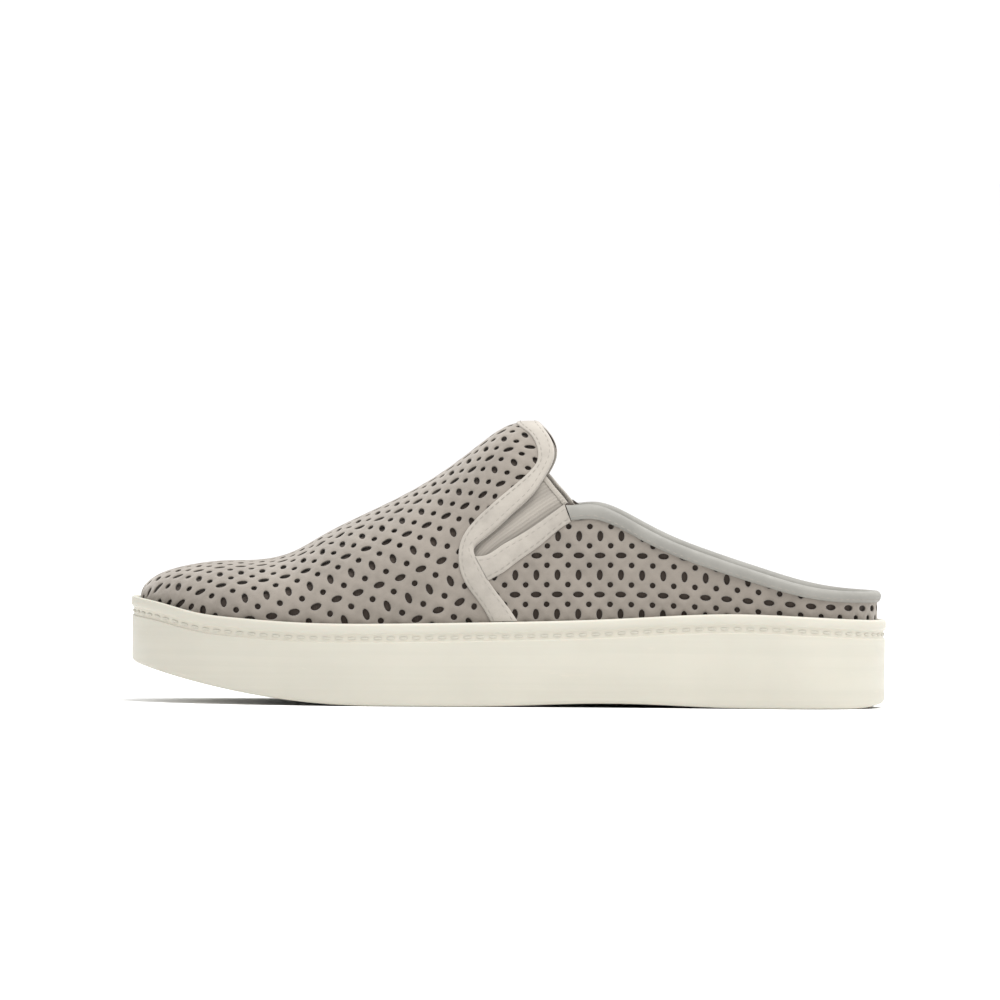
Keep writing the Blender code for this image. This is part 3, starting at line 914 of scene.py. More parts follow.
def rubber_finish(color):
    """Cream moulded rubber: faint level bands, dust under the lip and light scuffs."""
    made = Finish("cream_cup_rubber", 0.52, 0.42)
    bands = made.noise(420.0, 2.0, 0.60, made.stretched((0.012, 0.012, 1.0)))
    clouds = made.spread(made.noise(22.0, 4.0, 0.60), 0.35, 0.68)
    base = made.mix(clouds, shade(color, 0.965), shade(color, 1.03))
    base = made.mix(made.spread(bands, 0.45, 0.62, 0.0, 0.20), base, shade(color, 0.88))
    scuffs = made.noise(130.0, 5.0, 0.70, made.stretched((0.35, 0.35, 1.6), (0.0, 0.25, 0.0)))
    base = made.mix(made.spread(scuffs, 0.62, 0.74, 0.0, 0.30), base, DUST)
    depth = made.spread(made.attribute("rim"), 0.0, 1.0, 0.0, 0.30)
    made.color(made.mix(depth, base, GROOVE_DUST))
    made.tree.links.new(made.spread(scuffs, 0.40, 0.75, 0.48, 0.66), made.shader.inputs["Roughness"])
    made.shader.inputs["Subsurface Weight"].default_value = 0.06
    made.shader.inputs["Subsurface Scale"].default_value = 0.002
    made.bumps(
        (bands, 0.16, 0.00025),
        (made.noise(1500.0, 2.0), 0.10, 0.00006),
    )
    return made.material


def cloth_finish(name, color, weave):
    """Plain woven cloth at a given number of threads to the metre, with painted shade between its
    threads.
    """
    made = Finish(name, 0.90, 0.20)
    waves = []
    for direction in ("X", "Y"):
        wave = made.add("ShaderNodeTexWave", Vector=made.place, Scale=weave, Distortion=0.6)
        wave.bands_direction = direction
        waves.append(wave.outputs["Fac"])
    height = made.product(*waves)
    base = made.mix(made.noise(60.0, 4.0), shade(color, 0.86), shade(color, 1.12))
    # Painted shade: darker between the threads, where the weave dips
    made.color(made.mix(made.spread(height, 0.0, 0.6, 0.45, 0.0), base, shade(color, 0.55)))
    made.shader.inputs["Sheen Weight"].default_value = 0.25
    made.bumps((made.noise(300.0), 0.2, 0.0004), (height, 0.5, 0.0002))
    return made.material


def thread_finish(name, color):
    made = Finish(name, 0.75, 0.30)
    twist = made.noise(3200.0, 1.0, 0.5, made.stretched((1.0, 1.0, 0.4), (0.0, 0.6, 0.0)))
    made.color(made.mix(twist, shade(color, 0.86), shade(color, 1.10)))
    made.bumps((twist, 0.5, 0.00012))
    return made.material


def finish(name):
    """The material of that name, made when it is first asked for."""
    found = bpy.data.materials.get(name)
    if found:
        return found
    colors = bpy.context.scene.sneaker_colors
    makers = {
        "punched_suede": lambda: suede_finish("punched_suede", colors.suede),
        "binding_suede": lambda: suede_finish("binding_suede", colors.binding, 0.55),
        "grey_elastic_knit": lambda: elastic_finish(colors.elastic),
        "collar_nappa": lambda: leather_finish(colors.collar),
        "cream_cup_rubber": lambda: rubber_finish(colors.rubber),
        # Dark lining: partly its own colour, partly painted shade seen through the holes
        "dark_lining_cloth": lambda: cloth_finish("dark_lining_cloth", colors.lining, 420.0),
        "footbed_cloth": lambda: cloth_finish("footbed_cloth", colors.footbed, 300.0),
        "sole_thread": lambda: thread_finish("sole_thread", shade(colors.rubber, 0.98)),
        "trim_thread": lambda: thread_finish("trim_thread", shade(colors.binding, 0.82)),
    }
    return makers[name]()


# One punched cell of the suede: sides of its hole, and the width and depth of the rolled rim
CELL_SIDES = 12
RIM_WIDTH = 0.00030
RIM_DROP = 0.00022


def oval_point(number, length, width, drop):
    turn = 2 * math.pi * number / CELL_SIDES
    return Vector((length / 2 * math.cos(turn), width / 2 * math.sin(turn), -drop))


def diamond_point(number, pitch):
    corners = (pitch[0] / 2, 0), (0, pitch[1] / 2), (-pitch[0] / 2, 0), (0, -pitch[1] / 2)
    side, step = divmod(number, CELL_SIDES // 4)
    start = Vector((*corners[side], 0))
    end = Vector((*corners[(side + 1) % 4], 0))
    return start.lerp(end, step / (CELL_SIDES // 4))


def punched_cell(sheet, rim, number, pitch, centre, length, width):
    """Diamond of suede, extruded inwards to the rolled edge of one oval hole."""
    ring = bmesh.ops.create_circle(sheet, segments=CELL_SIDES, radius=1.0)["verts"]
    edges = list({edge for vert in ring for edge in vert.link_edges})
    for vert in ring:
        turn = math.atan2(vert.co.y, vert.co.x) / (2 * math.pi)
        vert[number] = round(turn * CELL_SIDES) % CELL_SIDES
        vert.co = diamond_point(vert[number], pitch) + Vector((*centre, 0))
    # The rolled edge gets 1 in the rim layer, which the suede's material turns into painted shade
    for grow, drop, shade_and_dust in ((2 * RIM_WIDTH, 0.0, 0.0), (0.0, RIM_DROP, 1.0)):
        grown = bmesh.ops.extrude_edge_only(sheet, edges=edges)["geom"]
        edges = [item for item in grown if isinstance(item, bmesh.types.BMEdge)]
        for vert in {vert for edge in edges for vert in edge.verts}:
            vert.co = oval_point(vert[number], length + grow, width + grow, drop)
            vert.co += Vector((*centre, 0))
            vert[rim] = shade_and_dust


def repeat(sheet, count, step):
    """Lays copies of everything in the sheet side by side."""
    first = sheet.verts[:] + sheet.edges[:] + sheet.faces[:]
    for i in range(1, count):
        made = bmesh.ops.duplicate(sheet, geom=first)["geom"]
        verts = [item for item in made if isinstance(item, bmesh.types.BMVert)]
        bmesh.ops.translate(sheet, verts=verts, vec=Vector(step) * i)


def punched_sheet(plan, pitch):
    """Flat suede: rows of lying ovals and rows of standing ovals, a pinhole between each four."""
    sizes = bpy.context.scene.sneaker_sizes
    start = (plan.oval - plan.before * pitch[0], -plan.under * pitch[1], 0)
    sheet = bmesh.new()
    rim = sheet.verts.layers.float.new("rim")
    number = sheet.verts.layers.int.new("number")
    long, short, pinhole = sizes.oval_length, sizes.oval_width, sizes.pinhole_width
    punched_cell(sheet, rim, number, pitch, (0, 0), long, short)
    punched_cell(sheet, rim, number, pitch, (0, pitch[1]), short, long)
    for row in (0.5, 1.5):
        centre = (pitch[0] / 2, pitch[1] * row)
        punched_cell(sheet, rim, number, pitch, centre, pinhole, pinhole)
    repeat(sheet, plan.columns, (pitch[0], 0, 0))
    repeat(sheet, plan.pairs, (0, 2 * pitch[1], 0))
    bmesh.ops.translate(sheet, verts=sheet.verts, vec=start)
    bmesh.ops.remove_doubles(sheet, verts=sheet.verts, dist=0.00001)
    return sheet


def crease_lift(places):
    """How far the vamp stands up in its soft waves, by the two distances on it."""
    xs, run = ridge_run()
    lift = np.zeros(len(places))
    for crease in CREASES:
        centre = float(np.interp(-x_of(crease.along), -xs, run))
        down = np.abs(places[:, 1])
        away = places[:, 0] - centre + crease.tilt * (down - crease.start)
        inside = share(down, crease.start, crease.start + 0.014)
        inside = inside * (1 - share(down, crease.end - 0.016, crease.end))
        wave = np.exp(-(away / crease.width) ** 2) * np.cos(away / crease.width * 1.6)
        lift += crease.height * wave * inside * inside * (3 - 2 * inside)
    return lift


def vamp_pull(spots):
    """Moves the vamp's rows to where the lasted suede has them."""
    runs = [row.run for row in VAMP_ROWS]
    pace = np.interp(spots[:, 0], runs, [row.pace for row in VAMP_ROWS])
    spread = np.interp(spots[:, 0], runs, [row.spread for row in VAMP_ROWS])
    rows = np.abs(spots[:, 1]) / bpy.context.scene.sneaker_sizes.hole_pitch
    moved = spots.copy()
    moved[:, 1] = np.sign(spots[:, 1]) * (pace * rows + spread * rows ** 2)
    return moved


def quarter_pull(spots):
    """Moves the quarters' rows to where the lasted suede has them, alike on both sides."""
    runs = [row.run for row in QUARTER_ROW]
    heights = [row.height for row in QUARTER_ROW]
    moved = spots.copy()
    moved[:, 1] += np.interp(np.abs(spots[:, 0]), runs, heights)
    return moved


def lay_down(name, sheet, lay, belongs, pull, lift_of=None):
    """Lays a flat sheet on the last and trims it to its panel."""
    spots = np.array([vert.co for vert in sheet.verts])
    lift = spots[:, 2].copy()
    spots = pull(spots)
    if lift_of:
        lift += lift_of(spots[:, :2])
    points = lay.at(spots[:, :2], lift)
    move_to(sheet, points)
    centres = np.array([face.calc_center_median() for face in sheet.faces])
    kept = belongs(centres)
    waste = [face for face, keep in zip(sheet.faces, kept) if not keep]
    bmesh.ops.delete(sheet, geom=waste, context="FACES")
    face_out(sheet)
    return to_mesh(name, sheet, math.radians(80))


def punched_piece(name, mesh):
    """Piece of punched suede with its wall."""
    piece = new_piece(name, mesh, finish("punched_suede"))
    thicken(piece, bpy.context.scene.sneaker_sizes.suede_thickness)
    settle(piece)
    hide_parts("upper")


def make_vamp():
    pitch = bpy.context.scene.sneaker_sizes.hole_pitch
    sheet = punched_sheet(VAMP_SHEET, (pitch, pitch))
    mesh = lay_down("vamp_suede", sheet, vamp_lay(), in_vamp, vamp_pull, crease_lift)
    punched_piece("vamp_suede", mesh)


def make_quarters():
    pitch = bpy.context.scene.sneaker_sizes.hole_pitch
    sheet = punched_sheet(QUARTER_SHEET, (pitch, pitch * QUARTER_ROW_SHARE))
    mesh = lay_down("quarter_suede", sheet, quarter_lay(), in_quarter, quarter_pull)
    punched_piece("quarter_suede", mesh)


# Lining: its depth under the last's surface, how far it stands over the topline before it is
# trimmed, and the stretch behind the throat in which it opens at the ridge
LINING_DEPTH = 0.0012
LINING_THICKNESS = 0.0005
TOPLINE_MARGIN = 0.006
CLOSED_RUN = 0.012
PRISM_REACH = 0.09


def lining_skin():
    """Inside of the last, open underneath and above the quarters, both sides in one sheet."""
    angles = np.linspace(0.001, np.pi - 0.001, 150)
    closed_end = x_of(THROAT_EDGE[0].along) + CLOSED_RUN
    columns = []
    for side in (LATERAL, MEDIAL):
        rows = []
        for angle in angles:
            x = float(np.clip(outline(np.array(angle), SKIN_INSET)[0], TOE_X, HEEL_X))
            lip = float(lip_height(x))
            top = float(ridge_height(x))
            open_share = float(share(x, closed_end, closed_end + CLOSED_RUN))
            wanted = float(topline_height(x)) + TOPLINE_MARGIN
            level = float(share(top + (wanted - top) * open_share, lip, top))
            reach = math.pi / 2
            if open_share > 0:
                reach = math.asin(level ** (float(TOP_POWER.at(along_of(x))) / 2))
            out, up = section_shares(x, np.linspace(0, reach, 30))
            y = ridge_y(x) + (foot_y(side, x) - ridge_y(x)) * out
            arc = np.stack((np.full(len(y), x), y, lip + (top - lip) * up), axis=-1)
            foot = arc[0].copy()
            foot[2] = float(floor_height(x)) + FIT
            rows.append(np.concatenate(([foot], arc)))
        columns.append(np.array(rows))
    return columns


def side_prism(name, line):
    """Solid over an area seen from the side, used to cut and then removed."""
    shell = bmesh.new()
    face = shell.faces.new([shell.verts.new((x, -PRISM_REACH, z)) for x, z in line])
    grown = bmesh.ops.extrude_face_region(shell, geom=[face])
    moved = [item for item in grown["geom"] if isinstance(item, bmesh.types.BMVert)]
    bmesh.ops.translate(shell, verts=moved, vec=(0, 2 * PRISM_REACH, 0))
    bmesh.ops.recalc_face_normals(shell, faces=shell.faces)
    return bare_object(name, shell)


def cut_away(piece, cutter):
    """Cuts one solid out of a piece and removes the cutter."""
    boolean = piece.modifiers.new("Cut", "BOOLEAN")
    boolean.object = cutter
    boolean.operation = "DIFFERENCE"
    boolean.solver = "EXACT"
    settle(piece)
    bpy.data.objects.remove(cutter)


def make_lining():
    shell = bmesh.new()
    for points in lining_skin():
        part = skin(points)
        mesh = bpy.data.meshes.new("half")
        part.to_mesh(mesh)
        part.free()
        shell.from_mesh(mesh)
        bpy.data.meshes.remove(mesh)
    bmesh.ops.remove_doubles(shell, verts=shell.verts, dist=0.00002)
    face_out(shell)
    mesh = to_mesh("lining", shell)
    piece = new_piece("lining", mesh, finish("dark_lining_cloth"))
    lift = piece.modifiers.new("Lift", "DISPLACE")
    lift.strength = -LINING_DEPTH
    lift.mid_level = 0.0
    thicken(piece, LINING_THICKNESS)
    throat = [spot for spot in THROAT_LINE.tolist() if spot[1] > INSTEP_HEIGHT * THROAT_FOOT]
    top = [(x, float(topline_height(x)) - 0.0006) for x in np.linspace(x_of(0.4096), x_of(0.0), 50)]
    line = throat + QUARTER_LINE.tolist()[1:] + top
    line += [(x_of(0) + PRISM_REACH, HEEL_HEIGHT)]
    line += [(x_of(0) + PRISM_REACH, INSTEP_HEIGHT + PRISM_REACH)]
    line += [(line[0][0], INSTEP_HEIGHT + PRISM_REACH)]
    cut_away(piece, side_prism("foot_opening", line))
    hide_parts("upper")


# Cross-sections of the folded strips: reach is a share of the width, run and lift are metres
Fold = namedtuple("Fold", "reach run lift")
BINDING_FOLD = (
    Fold(1, 0.0000, -0.00020),
    Fold(1, 0.0000, 0.00030),
    Fold(1, -0.0002, 0.00052),
    Fold(1, -0.0007, 0.00066),
    Fold(0.5, 0.0000, 0.00080),
    Fold(0, 0.0012, 0.00080),
    Fold(0, 0.0004, 0.00062),
    Fold(0, -0.0001, 0.00025),
    Fold(0, -0.0002, -0.00040),
    Fold(0, -0.0002, -0.00140),
    Fold(0, 0.0001, -0.00215),
    Fold(0, 0.0008, -0.00245),
    Fold(0, 0.0040, -0.00240),
    Fold(0, 0.0046, -0.00205),
    Fold(0, 0.0046, -0.00150),
    Fold(0.5, 0.0010, -0.00060),
)
COLLAR_FOLD = (
    Fold(1, 0.0000, -0.00020),
    Fold(1, 0.0000, 0.00035),
    Fold(1, -0.0004, 0.00080),
    Fold(1, -0.0013, 0.00115),
    Fold(0.5, 0.0000, 0.00140),
    Fold(0, 0.0014, 0.00130),
    Fold(0, 0.0005, 0.00075),
    Fold(0, 0.0001, 0.00010),
    Fold(0, 0.0000, -0.00090),
    Fold(0, 0.0003, -0.00200),
    Fold(0, 0.0012, -0.00310),
    Fold(0, 0.0030, -0.00370),
    Fold(0, 0.0055, -0.00360),
    Fold(0, 0.0078, -0.00310),
    Fold(0, 0.0088, -0.00260),
    Fold(0, 0.0086, -0.00210),
    Fold(0.5, 0.0015, -0.00190),
)


def strip_frame(edge, far):
    """Directions of a strip at each point of its folded edge: across it and off the surface."""
    across = far - edge
    ahead = np.gradient(edge, axis=0)
    normal = unit(np.cross(ahead, across))
    away = edge * (0, 1, 1) - (0, 0, INSIDE_HEIGHT)
    turn = np.sign(np.sum(normal * away))
    return across, normal * turn


def folded_strip(name, edge, far, fold):
    """Strip folded over an edge of the upper, from its edge line to its far line."""
    across, normal = strip_frame(edge, far)
    rows = []
    for place in fold:
        rows.append(edge + across * place.reach + unit(across) * place.run + normal * place.lift)
    shell = skin(np.stack(rows, axis=1), closed_rows=True)
    return to_mesh(name, shell, math.radians(60))


def binding_lines(count=120):
    """Folded edge and far line of the binding, from the outer lip over the throat to the inner."""
    lines = []
    for line in (THROAT_LINE, BINDING_LINE):
        outer = line_on_last(LATERAL, line, count)
        inner = line_on_last(MEDIAL, line, count)
        lines.append(np.concatenate((outer[:0:-1], inner)))
    return lines


def make_binding():
    edge, far = binding_lines()
    mesh = folded_strip("vamp_binding", edge, far, BINDING_FOLD)
    piece = new_piece("vamp_binding", mesh, finish("binding_suede"))
    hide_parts("vamp_trim")


# Share of the quarter band's lines at which it ends under the collar
QUARTER_BAND_END = 0.955


def quarter_strip_lines(side, count=50):
    """Folded edge and far line of one quarter's band, from the binding up to the collar."""
    lines = []
    for line in (QUARTER_LINE, BAND_LINE):
        run = np.linspace(0, 1, len(line))
        x, z = (np.interp(np.linspace(0.0, QUARTER_BAND_END, count), run, line[:, i]) for i in (0, 1))
        lines.append(np.stack((x, last_y(side, x, z), z), axis=-1))
    return lines


def make_quarter_bands():
    for side, name in ((LATERAL, "lateral"), (MEDIAL, "medial")):
        edge, far = quarter_strip_lines(side)
        mesh = folded_strip(f"quarter_band_{name}", edge, far, BINDING_FOLD)
        piece = new_piece(f"quarter_band_{name}", mesh, finish("binding_suede"))
        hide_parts(f"quarter_trim_{name}")


def collar_lines(count=260):
    """Topline and foot of the collar, from the outer corner round the heel to the inner one."""
    lines = []
    corner = int(QUARTER_BAND_END * (len(QUARTER_LINE) - 1))
    for lower, start in ((0.0, QUARTER_LINE[corner, 0]), (1.0, BAND_LINE[corner, 0])):
        sides = []
        for side in (LATERAL, MEDIAL):
            foot = FOOT_LINES[side][::-1]
            x = foot[:, 0]
            keep = x > start + FIT
            x = x[keep]
            heel = share(x, start, x_of(0.0))
            drop = COLLAR_BAND_HEIGHT + (COLLAR_HEEL_HEIGHT - COLLAR_BAND_HEIGHT) * heel
            z = topline_height(x) - drop * lower
            y = ridge_y(x) + (foot[keep, 1] - ridge_y(x)) * out_share(x, z)
            points = np.stack((x, y, z), axis=-1)
            sides.append(resample(points, np.linspace(0, travel(points)[-1], count // 2)))
        lines.append(np.concatenate((sides[0][:0:-1], sides[1])))
    return lines


def make_collar():
    edge, far = collar_lines()
    mesh = folded_strip("collar_roll", edge, far, COLLAR_FOLD)
    piece = new_piece("collar_roll", mesh, finish("collar_nappa"))
    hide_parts("collar_band")


# Elastic gores, each from under the binding to a little under its quarter's front edge, with
# fine ribs and a few soft lengthwise folds
GORE_DEPTH = 0.0024
GORE_UNDER = (0.0022, -0.0028)
GORE_THICKNESS = 0.0009
GORE_RIBS = 16
RIB_HEIGHT = 0.00010
GORE_FOLDS = 2.5
GORE_FOLD_HEIGHT = 0.00035
HEM_HEIGHT = 0.0016
HEM_FOLD = (
    Fold(1, 0.0000, 0.00005),
    Fold(1, 0.0000, 0.00030),
    Fold(0.5, 0.0000, 0.00045),
    Fold(0, 0.0000, 0.00030),
    Fold(0, -0.0003, -0.00010),
    Fold(0, -0.0003, -0.00080),
    Fold(0, 0.0000, -0.00120),
    Fold(0.5, 0.0000, -0.00130),
    Fold(1, 0.0000, -0.00115),
    Fold(1, 0.0000, -0.00080),
)


def make_gores():
    front = smooth_line(side_spots(GORE_FRONT), 60)
    rear = smooth_line(corner_spots(QUARTER_FRONT), 60) + GORE_UNDER
    across = np.linspace(0, 1, GORE_RIBS * 6 + 1)[:, None]
    ribs = (1 + np.cos(2 * np.pi * GORE_RIBS * across)) / 2
    folds = (1 - np.cos(2 * np.pi * GORE_FOLDS * across)) / 2
    lift = RIB_HEIGHT * ribs + GORE_FOLD_HEIGHT * folds - GORE_DEPTH
    # Painted shade: darker in the valleys of the soft folds and between the ribs
    shade_and_dust = np.tile(0.7 * (1 - folds) + 0.3 * (1 - ribs), (1, len(front)))
    for side, name in ((LATERAL, "lateral"), (MEDIAL, "medial")):
        flat = front + (rear - front) * across[..., None]
        x, z = flat[..., 0], flat[..., 1]
        points = np.stack((x, last_y(side, x, z), z), axis=-1)
        normal = unit(np.cross(np.gradient(points, axis=1), np.gradient(points, axis=0)))
        normal *= np.sign(np.sum(normal[..., 1])) * side
        points = points + normal * lift[..., None]
        sheet = skin(points, shade_and_dust=shade_and_dust)
        face_out(sheet)
        mesh = to_mesh(f"gore_{name}_elastic", sheet, math.radians(80))
        piece = new_piece(f"gore_{name}_elastic", mesh, finish("grey_elastic_knit"))
        thicken(piece, GORE_THICKNESS)
        settle(piece)
        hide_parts(f"gore_{name}")
        seen = points[:, -1, 0] < x_of(QUARTER_FRONT[-1].along)
        edge = points[seen, -1]
        far = edge + unit(points[seen, -4] - edge) * HEM_HEIGHT
        hem = folded_strip(f"gore_{name}_hem", edge, far, HEM_FOLD)
        new_piece(f"gore_{name}_hem", hem, finish("grey_elastic_knit"))


# Cup sole, from the middle of its underside out and up to the middle of its cup: drop is the
# distance below the lip, and a level above the bottom has a rise instead
WallLevel = namedtuple("WallLevel", "inset drop rim")
SOLE_WALL = (
    WallLevel(0.0000, 0.0110, 0.0),
    WallLevel(0.0000, 0.0069, 0.0),
    WallLevel(0.0005, 0.0065, 0.8),
    WallLevel(0.0006, 0.0052, 1.0),
    WallLevel(0.0005, 0.0039, 0.8),
    WallLevel(0.0000, 0.0035, 0.1),
    WallLevel(-0.0002, 0.0031, 0.0),
    WallLevel(-0.0003, 0.0026, 0.0),
    WallLevel(-0.0003, 0.0008, 0.0),
    WallLevel(-0.0001, 0.0003, 0.0),
    WallLevel(0.0004, 0.0000, 0.0),
    WallLevel(0.0018, 0.0000, 0.0),
    WallLevel(0.0023, 0.0003, 0.0),
    WallLevel(0.0026, 0.0010, 0.3),
    WallLevel(0.0026, 0.0040, 0.6),
)
SOLE_EDGE = 0.0014
SOLE_STATIONS = 280

# Tread: depth and width of a groove, its distance from the sole's edge, and where grooves lie
TREAD_DEPTH = 0.0016
TREAD_SLOT = 0.0026
TREAD_RIM = 0.0085
TREAD_STRETCHES = ((0.05, 0.15), (0.565, 0.82))


def sole_points():
    """Closed rings of the cup sole, from underneath to the cup's floor."""
    angles = 2 * np.pi * np.arange(SOLE_STATIONS) / SOLE_STATIONS
    rows = []
    rims = []

    def ring(inset, height, rim=0.0, inwards=0.0):
        spots = inset_outline(angles, inset)
        middle = (spots + inset_outline(-angles, inset)) / 2
        spots = spots + (middle - spots) * inwards
        rows.append(np.column_stack((spots, height(spots[:, 0]))))
        rims.append(rim)

    for inwards in (1.0, 0.66, 0.33):
        ring(SOLE_EDGE, bottom_height, 0.0, inwards)
    for turn in np.linspace(0, np.pi / 2, 5):
        inset = SOLE_EDGE * (1 - math.sin(turn))
        rise = SOLE_EDGE * (1 - math.cos(turn))
        ring(inset, lambda x, rise=rise: bottom_height(x) + rise)
    for level in SOLE_WALL:
        ring(level.inset, lambda x, drop=level.drop: lip_height(x) - drop, level.rim)
    for inwards in (0.0, 0.5, 1.0):
        ring(LIP_WIDTH, floor_height, 0.6, inwards)
    return np.array(rows), rims


def make_sole():
    points, rims = sole_points()
    points = points.transpose(1, 0, 2)
    shade_and_dust = np.tile(rims, (len(points), 1))
    sheet = skin(points, closed_columns=True, shade_and_dust=shade_and_dust)
    mesh = to_mesh("cup_sole", sheet, math.radians(42))
    piece = new_piece("cup_sole", mesh, finish("cream_cup_rubber"))
    cut_away(piece, tread_cutter())
    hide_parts("outsole")


def tread_cutter():
    """Straight grooves across the heel and the forefoot."""
    pitch = bpy.context.scene.sneaker_sizes.tread_pitch
    slots = bmesh.new()
    for start, end in TREAD_STRETCHES:
        for i in range(int((end - start) * LENGTH / pitch) + 1):
            x = x_of(start) - i * pitch
            along = along_of(x)
            half = float(BALL_WIDTH * HALF_WIDTH.at(along) * end_rounding(along)) - TREAD_RIM
            middle = float(BALL_WIDTH * CENTRE.at(along)) - PLAN_MIDDLE[1]
            made = bmesh.ops.create_cube(slots, size=1.0)["verts"]
            bmesh.ops.scale(slots, vec=(TREAD_SLOT, 2 * half, 2 * TREAD_DEPTH), verts=made)
            bmesh.ops.translate(slots, vec=(x, middle, float(bottom_height(x))), verts=made)
    return bare_object("tread_grooves", slots)


Stitch = namedtuple("Stitch", "gap width height")


def stitch_row(shell, path, normal, length, stitch):
    """Lays rounded stitches end to end along a path."""
    run = travel(path)
    count = int(run[-1] / (length + stitch.gap))
    pace = run[-1] / count
    for i in range(count):
        place = (i + 0.5) * pace
        ends = resample(path, np.array((place - length / 2, place, place + length / 2)))
        index = int(np.clip(np.searchsorted(run, place), 0, len(run) - 1))
        up = Vector(normal[index])
        ahead = Vector(ends[2] - ends[0]).normalized()
        side = up.cross(ahead).normalized()
        up = ahead.cross(side)
        turn = Matrix((ahead, side, up)).transposed().to_4x4()
        turn.translation = Vector(ends[1])
        spot = turn @ Matrix.Diagonal((length, stitch.width, stitch.height, 1.0))
        bmesh.ops.create_uvsphere(shell, u_segments=8, v_segments=5, radius=0.5, matrix=spot)


SOLE_STITCH = Stitch(gap=0.0012, width=0.0011, height=0.0007)
SOLE_STITCH_INSET = 0.0005
SOLE_STITCH_DROP = 0.0052


def make_sole_stitches():
    length = bpy.context.scene.sneaker_sizes.sole_stitch
    angles = np.linspace(0, 2 * np.pi, 900)
    spots = inset_outline(angles, SOLE_STITCH_INSET)
    out = inset_outline(angles, 0.0) - inset_outline(angles, 0.001)
    path = np.column_stack((spots, lip_height(spots[:, 0]) - SOLE_STITCH_DROP))
    normal = unit(np.column_stack((out, np.zeros(len(out)))))
    shell = bmesh.new()
    stitch_row(shell, path, normal, length, SOLE_STITCH)
    mesh = to_mesh("sole_stitches", shell)
    new_piece("sole_stitches", mesh, finish("sole_thread"))


# Rows of stitches on the bindings and on the collar, placed as in the folds
BINDING_SEAMS = (Fold(1, -0.0013, 0.00076), Fold(0, 0.0016, 0.00076))
COLLAR_SEAMS = (Fold(1, -0.0011, 0.00112),)
TRIM_STITCH = Stitch(gap=0.0007, width=0.00036, height=0.0002)


def make_trim_stitches():
    length = bpy.context.scene.sneaker_sizes.trim_stitch
    shell = bmesh.new()
    strips = [(binding_lines(), BINDING_SEAMS)]
    strips += [(quarter_strip_lines(side), BINDING_SEAMS) for side in (LATERAL, MEDIAL)]
    strips.append((collar_lines(), COLLAR_SEAMS))
    for (edge, far), seams in strips:
        across, normal = strip_frame(edge, far)
        for seam in seams:
            path = edge + across * seam.reach + unit(across) * seam.run + normal * seam.lift
            stitch_row(shell, path, normal, length, TRIM_STITCH)
    new_piece("trim_stitches", to_mesh("trim_stitches", shell), finish("trim_thread"))


# Footbed: how far its edge rises into the walls, its crown, and the rounding of its rim
FOOTBED_STATIONS = 160
FOOTBED_EDGE_RISE = 0.0035
FOOTBED_CROWN = 0.0012
FOOTBED_ROUND = 0.0016


def make_footbed():
    """Cushioned insole: a low crown in the middle and a rim that rises into the walls."""
    angles = 2 * np.pi * np.arange(FOOTBED_STATIONS) / FOOTBED_STATIONS
    inset = SKIN_INSET + WALL + FIT
    spots = inset_outline(angles, inset)
    middle = (spots + inset_outline(-angles, inset)) / 2
    rows = []

    def ring(inwards, height):
        place = spots + (middle - spots) * inwards
        rows.append(np.column_stack((place, floor_height(place[:, 0]) + FIT + height)))

    for inwards in (1.0, 0.5, 0.02):
        ring(inwards, 0.0)
    ring(0.0, FOOTBED_ROUND / 2)
    for inwards in (0.0, 0.01, 0.03, 0.07, 0.13, 0.22, 0.36, 0.55, 0.8, 1.0):
        rise = FOOTBED_EDGE_RISE * max(0.0, 1 - inwards / 0.36) ** 2
        round_off = FOOTBED_ROUND * max(0.0, 1 - inwards / 0.03) ** 2
        crown = FOOTBED_CROWN * math.sin(math.pi / 2 * inwards)
        ring(inwards, INSOLE_THICKNESS + rise - round_off + crown - FOOTBED_CROWN / 2)
    shell = skin(np.array(rows).transpose(1, 0, 2), closed_columns=True)
    piece = new_piece("footbed", to_mesh("footbed", shell), finish("footbed_cloth"))
    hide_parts("insole")


# Camera and stage: PIXEL is what one of the picture's 1000 pixels spans at the shoe
PIXEL = 0.0003582
VIEW_CENTRE = (-0.0034, 0.0, 0.0731)
VIEW_DISTANCE = 8.0
VIEW_AZIMUTH = 2.0
VIEW_ELEVATION = 1.1
VIEW_ROLL = 0.5
FLOOR_RADIUS = 40.0


Light = namedtuple("Light", "name place target size energy")
LIGHTS = (
    Light("key", Vector((0.30, -0.35, 1.4)), Vector((0.03, 0, 0.03)), 0.9, 25.0),
    Light("back", Vector((0.6, 0.8, 1.1)), Vector((0, 0, 0.03)), 1.2, 7.0),
)
SKY_STRENGTH = 1.08


def add_area_light(light):
    lamp = bpy.data.lights.new(light.name, "AREA")
    lamp.shape = "DISK"
    lamp.size = light.size
    lamp.energy = light.energy
    made = bpy.data.objects.new(light.name, lamp)
    made.location = light.place
    made.rotation_euler = (light.target - light.place).to_track_quat("-Z", "Y").to_euler()
    bpy.context.scene.collection.objects.link(made)


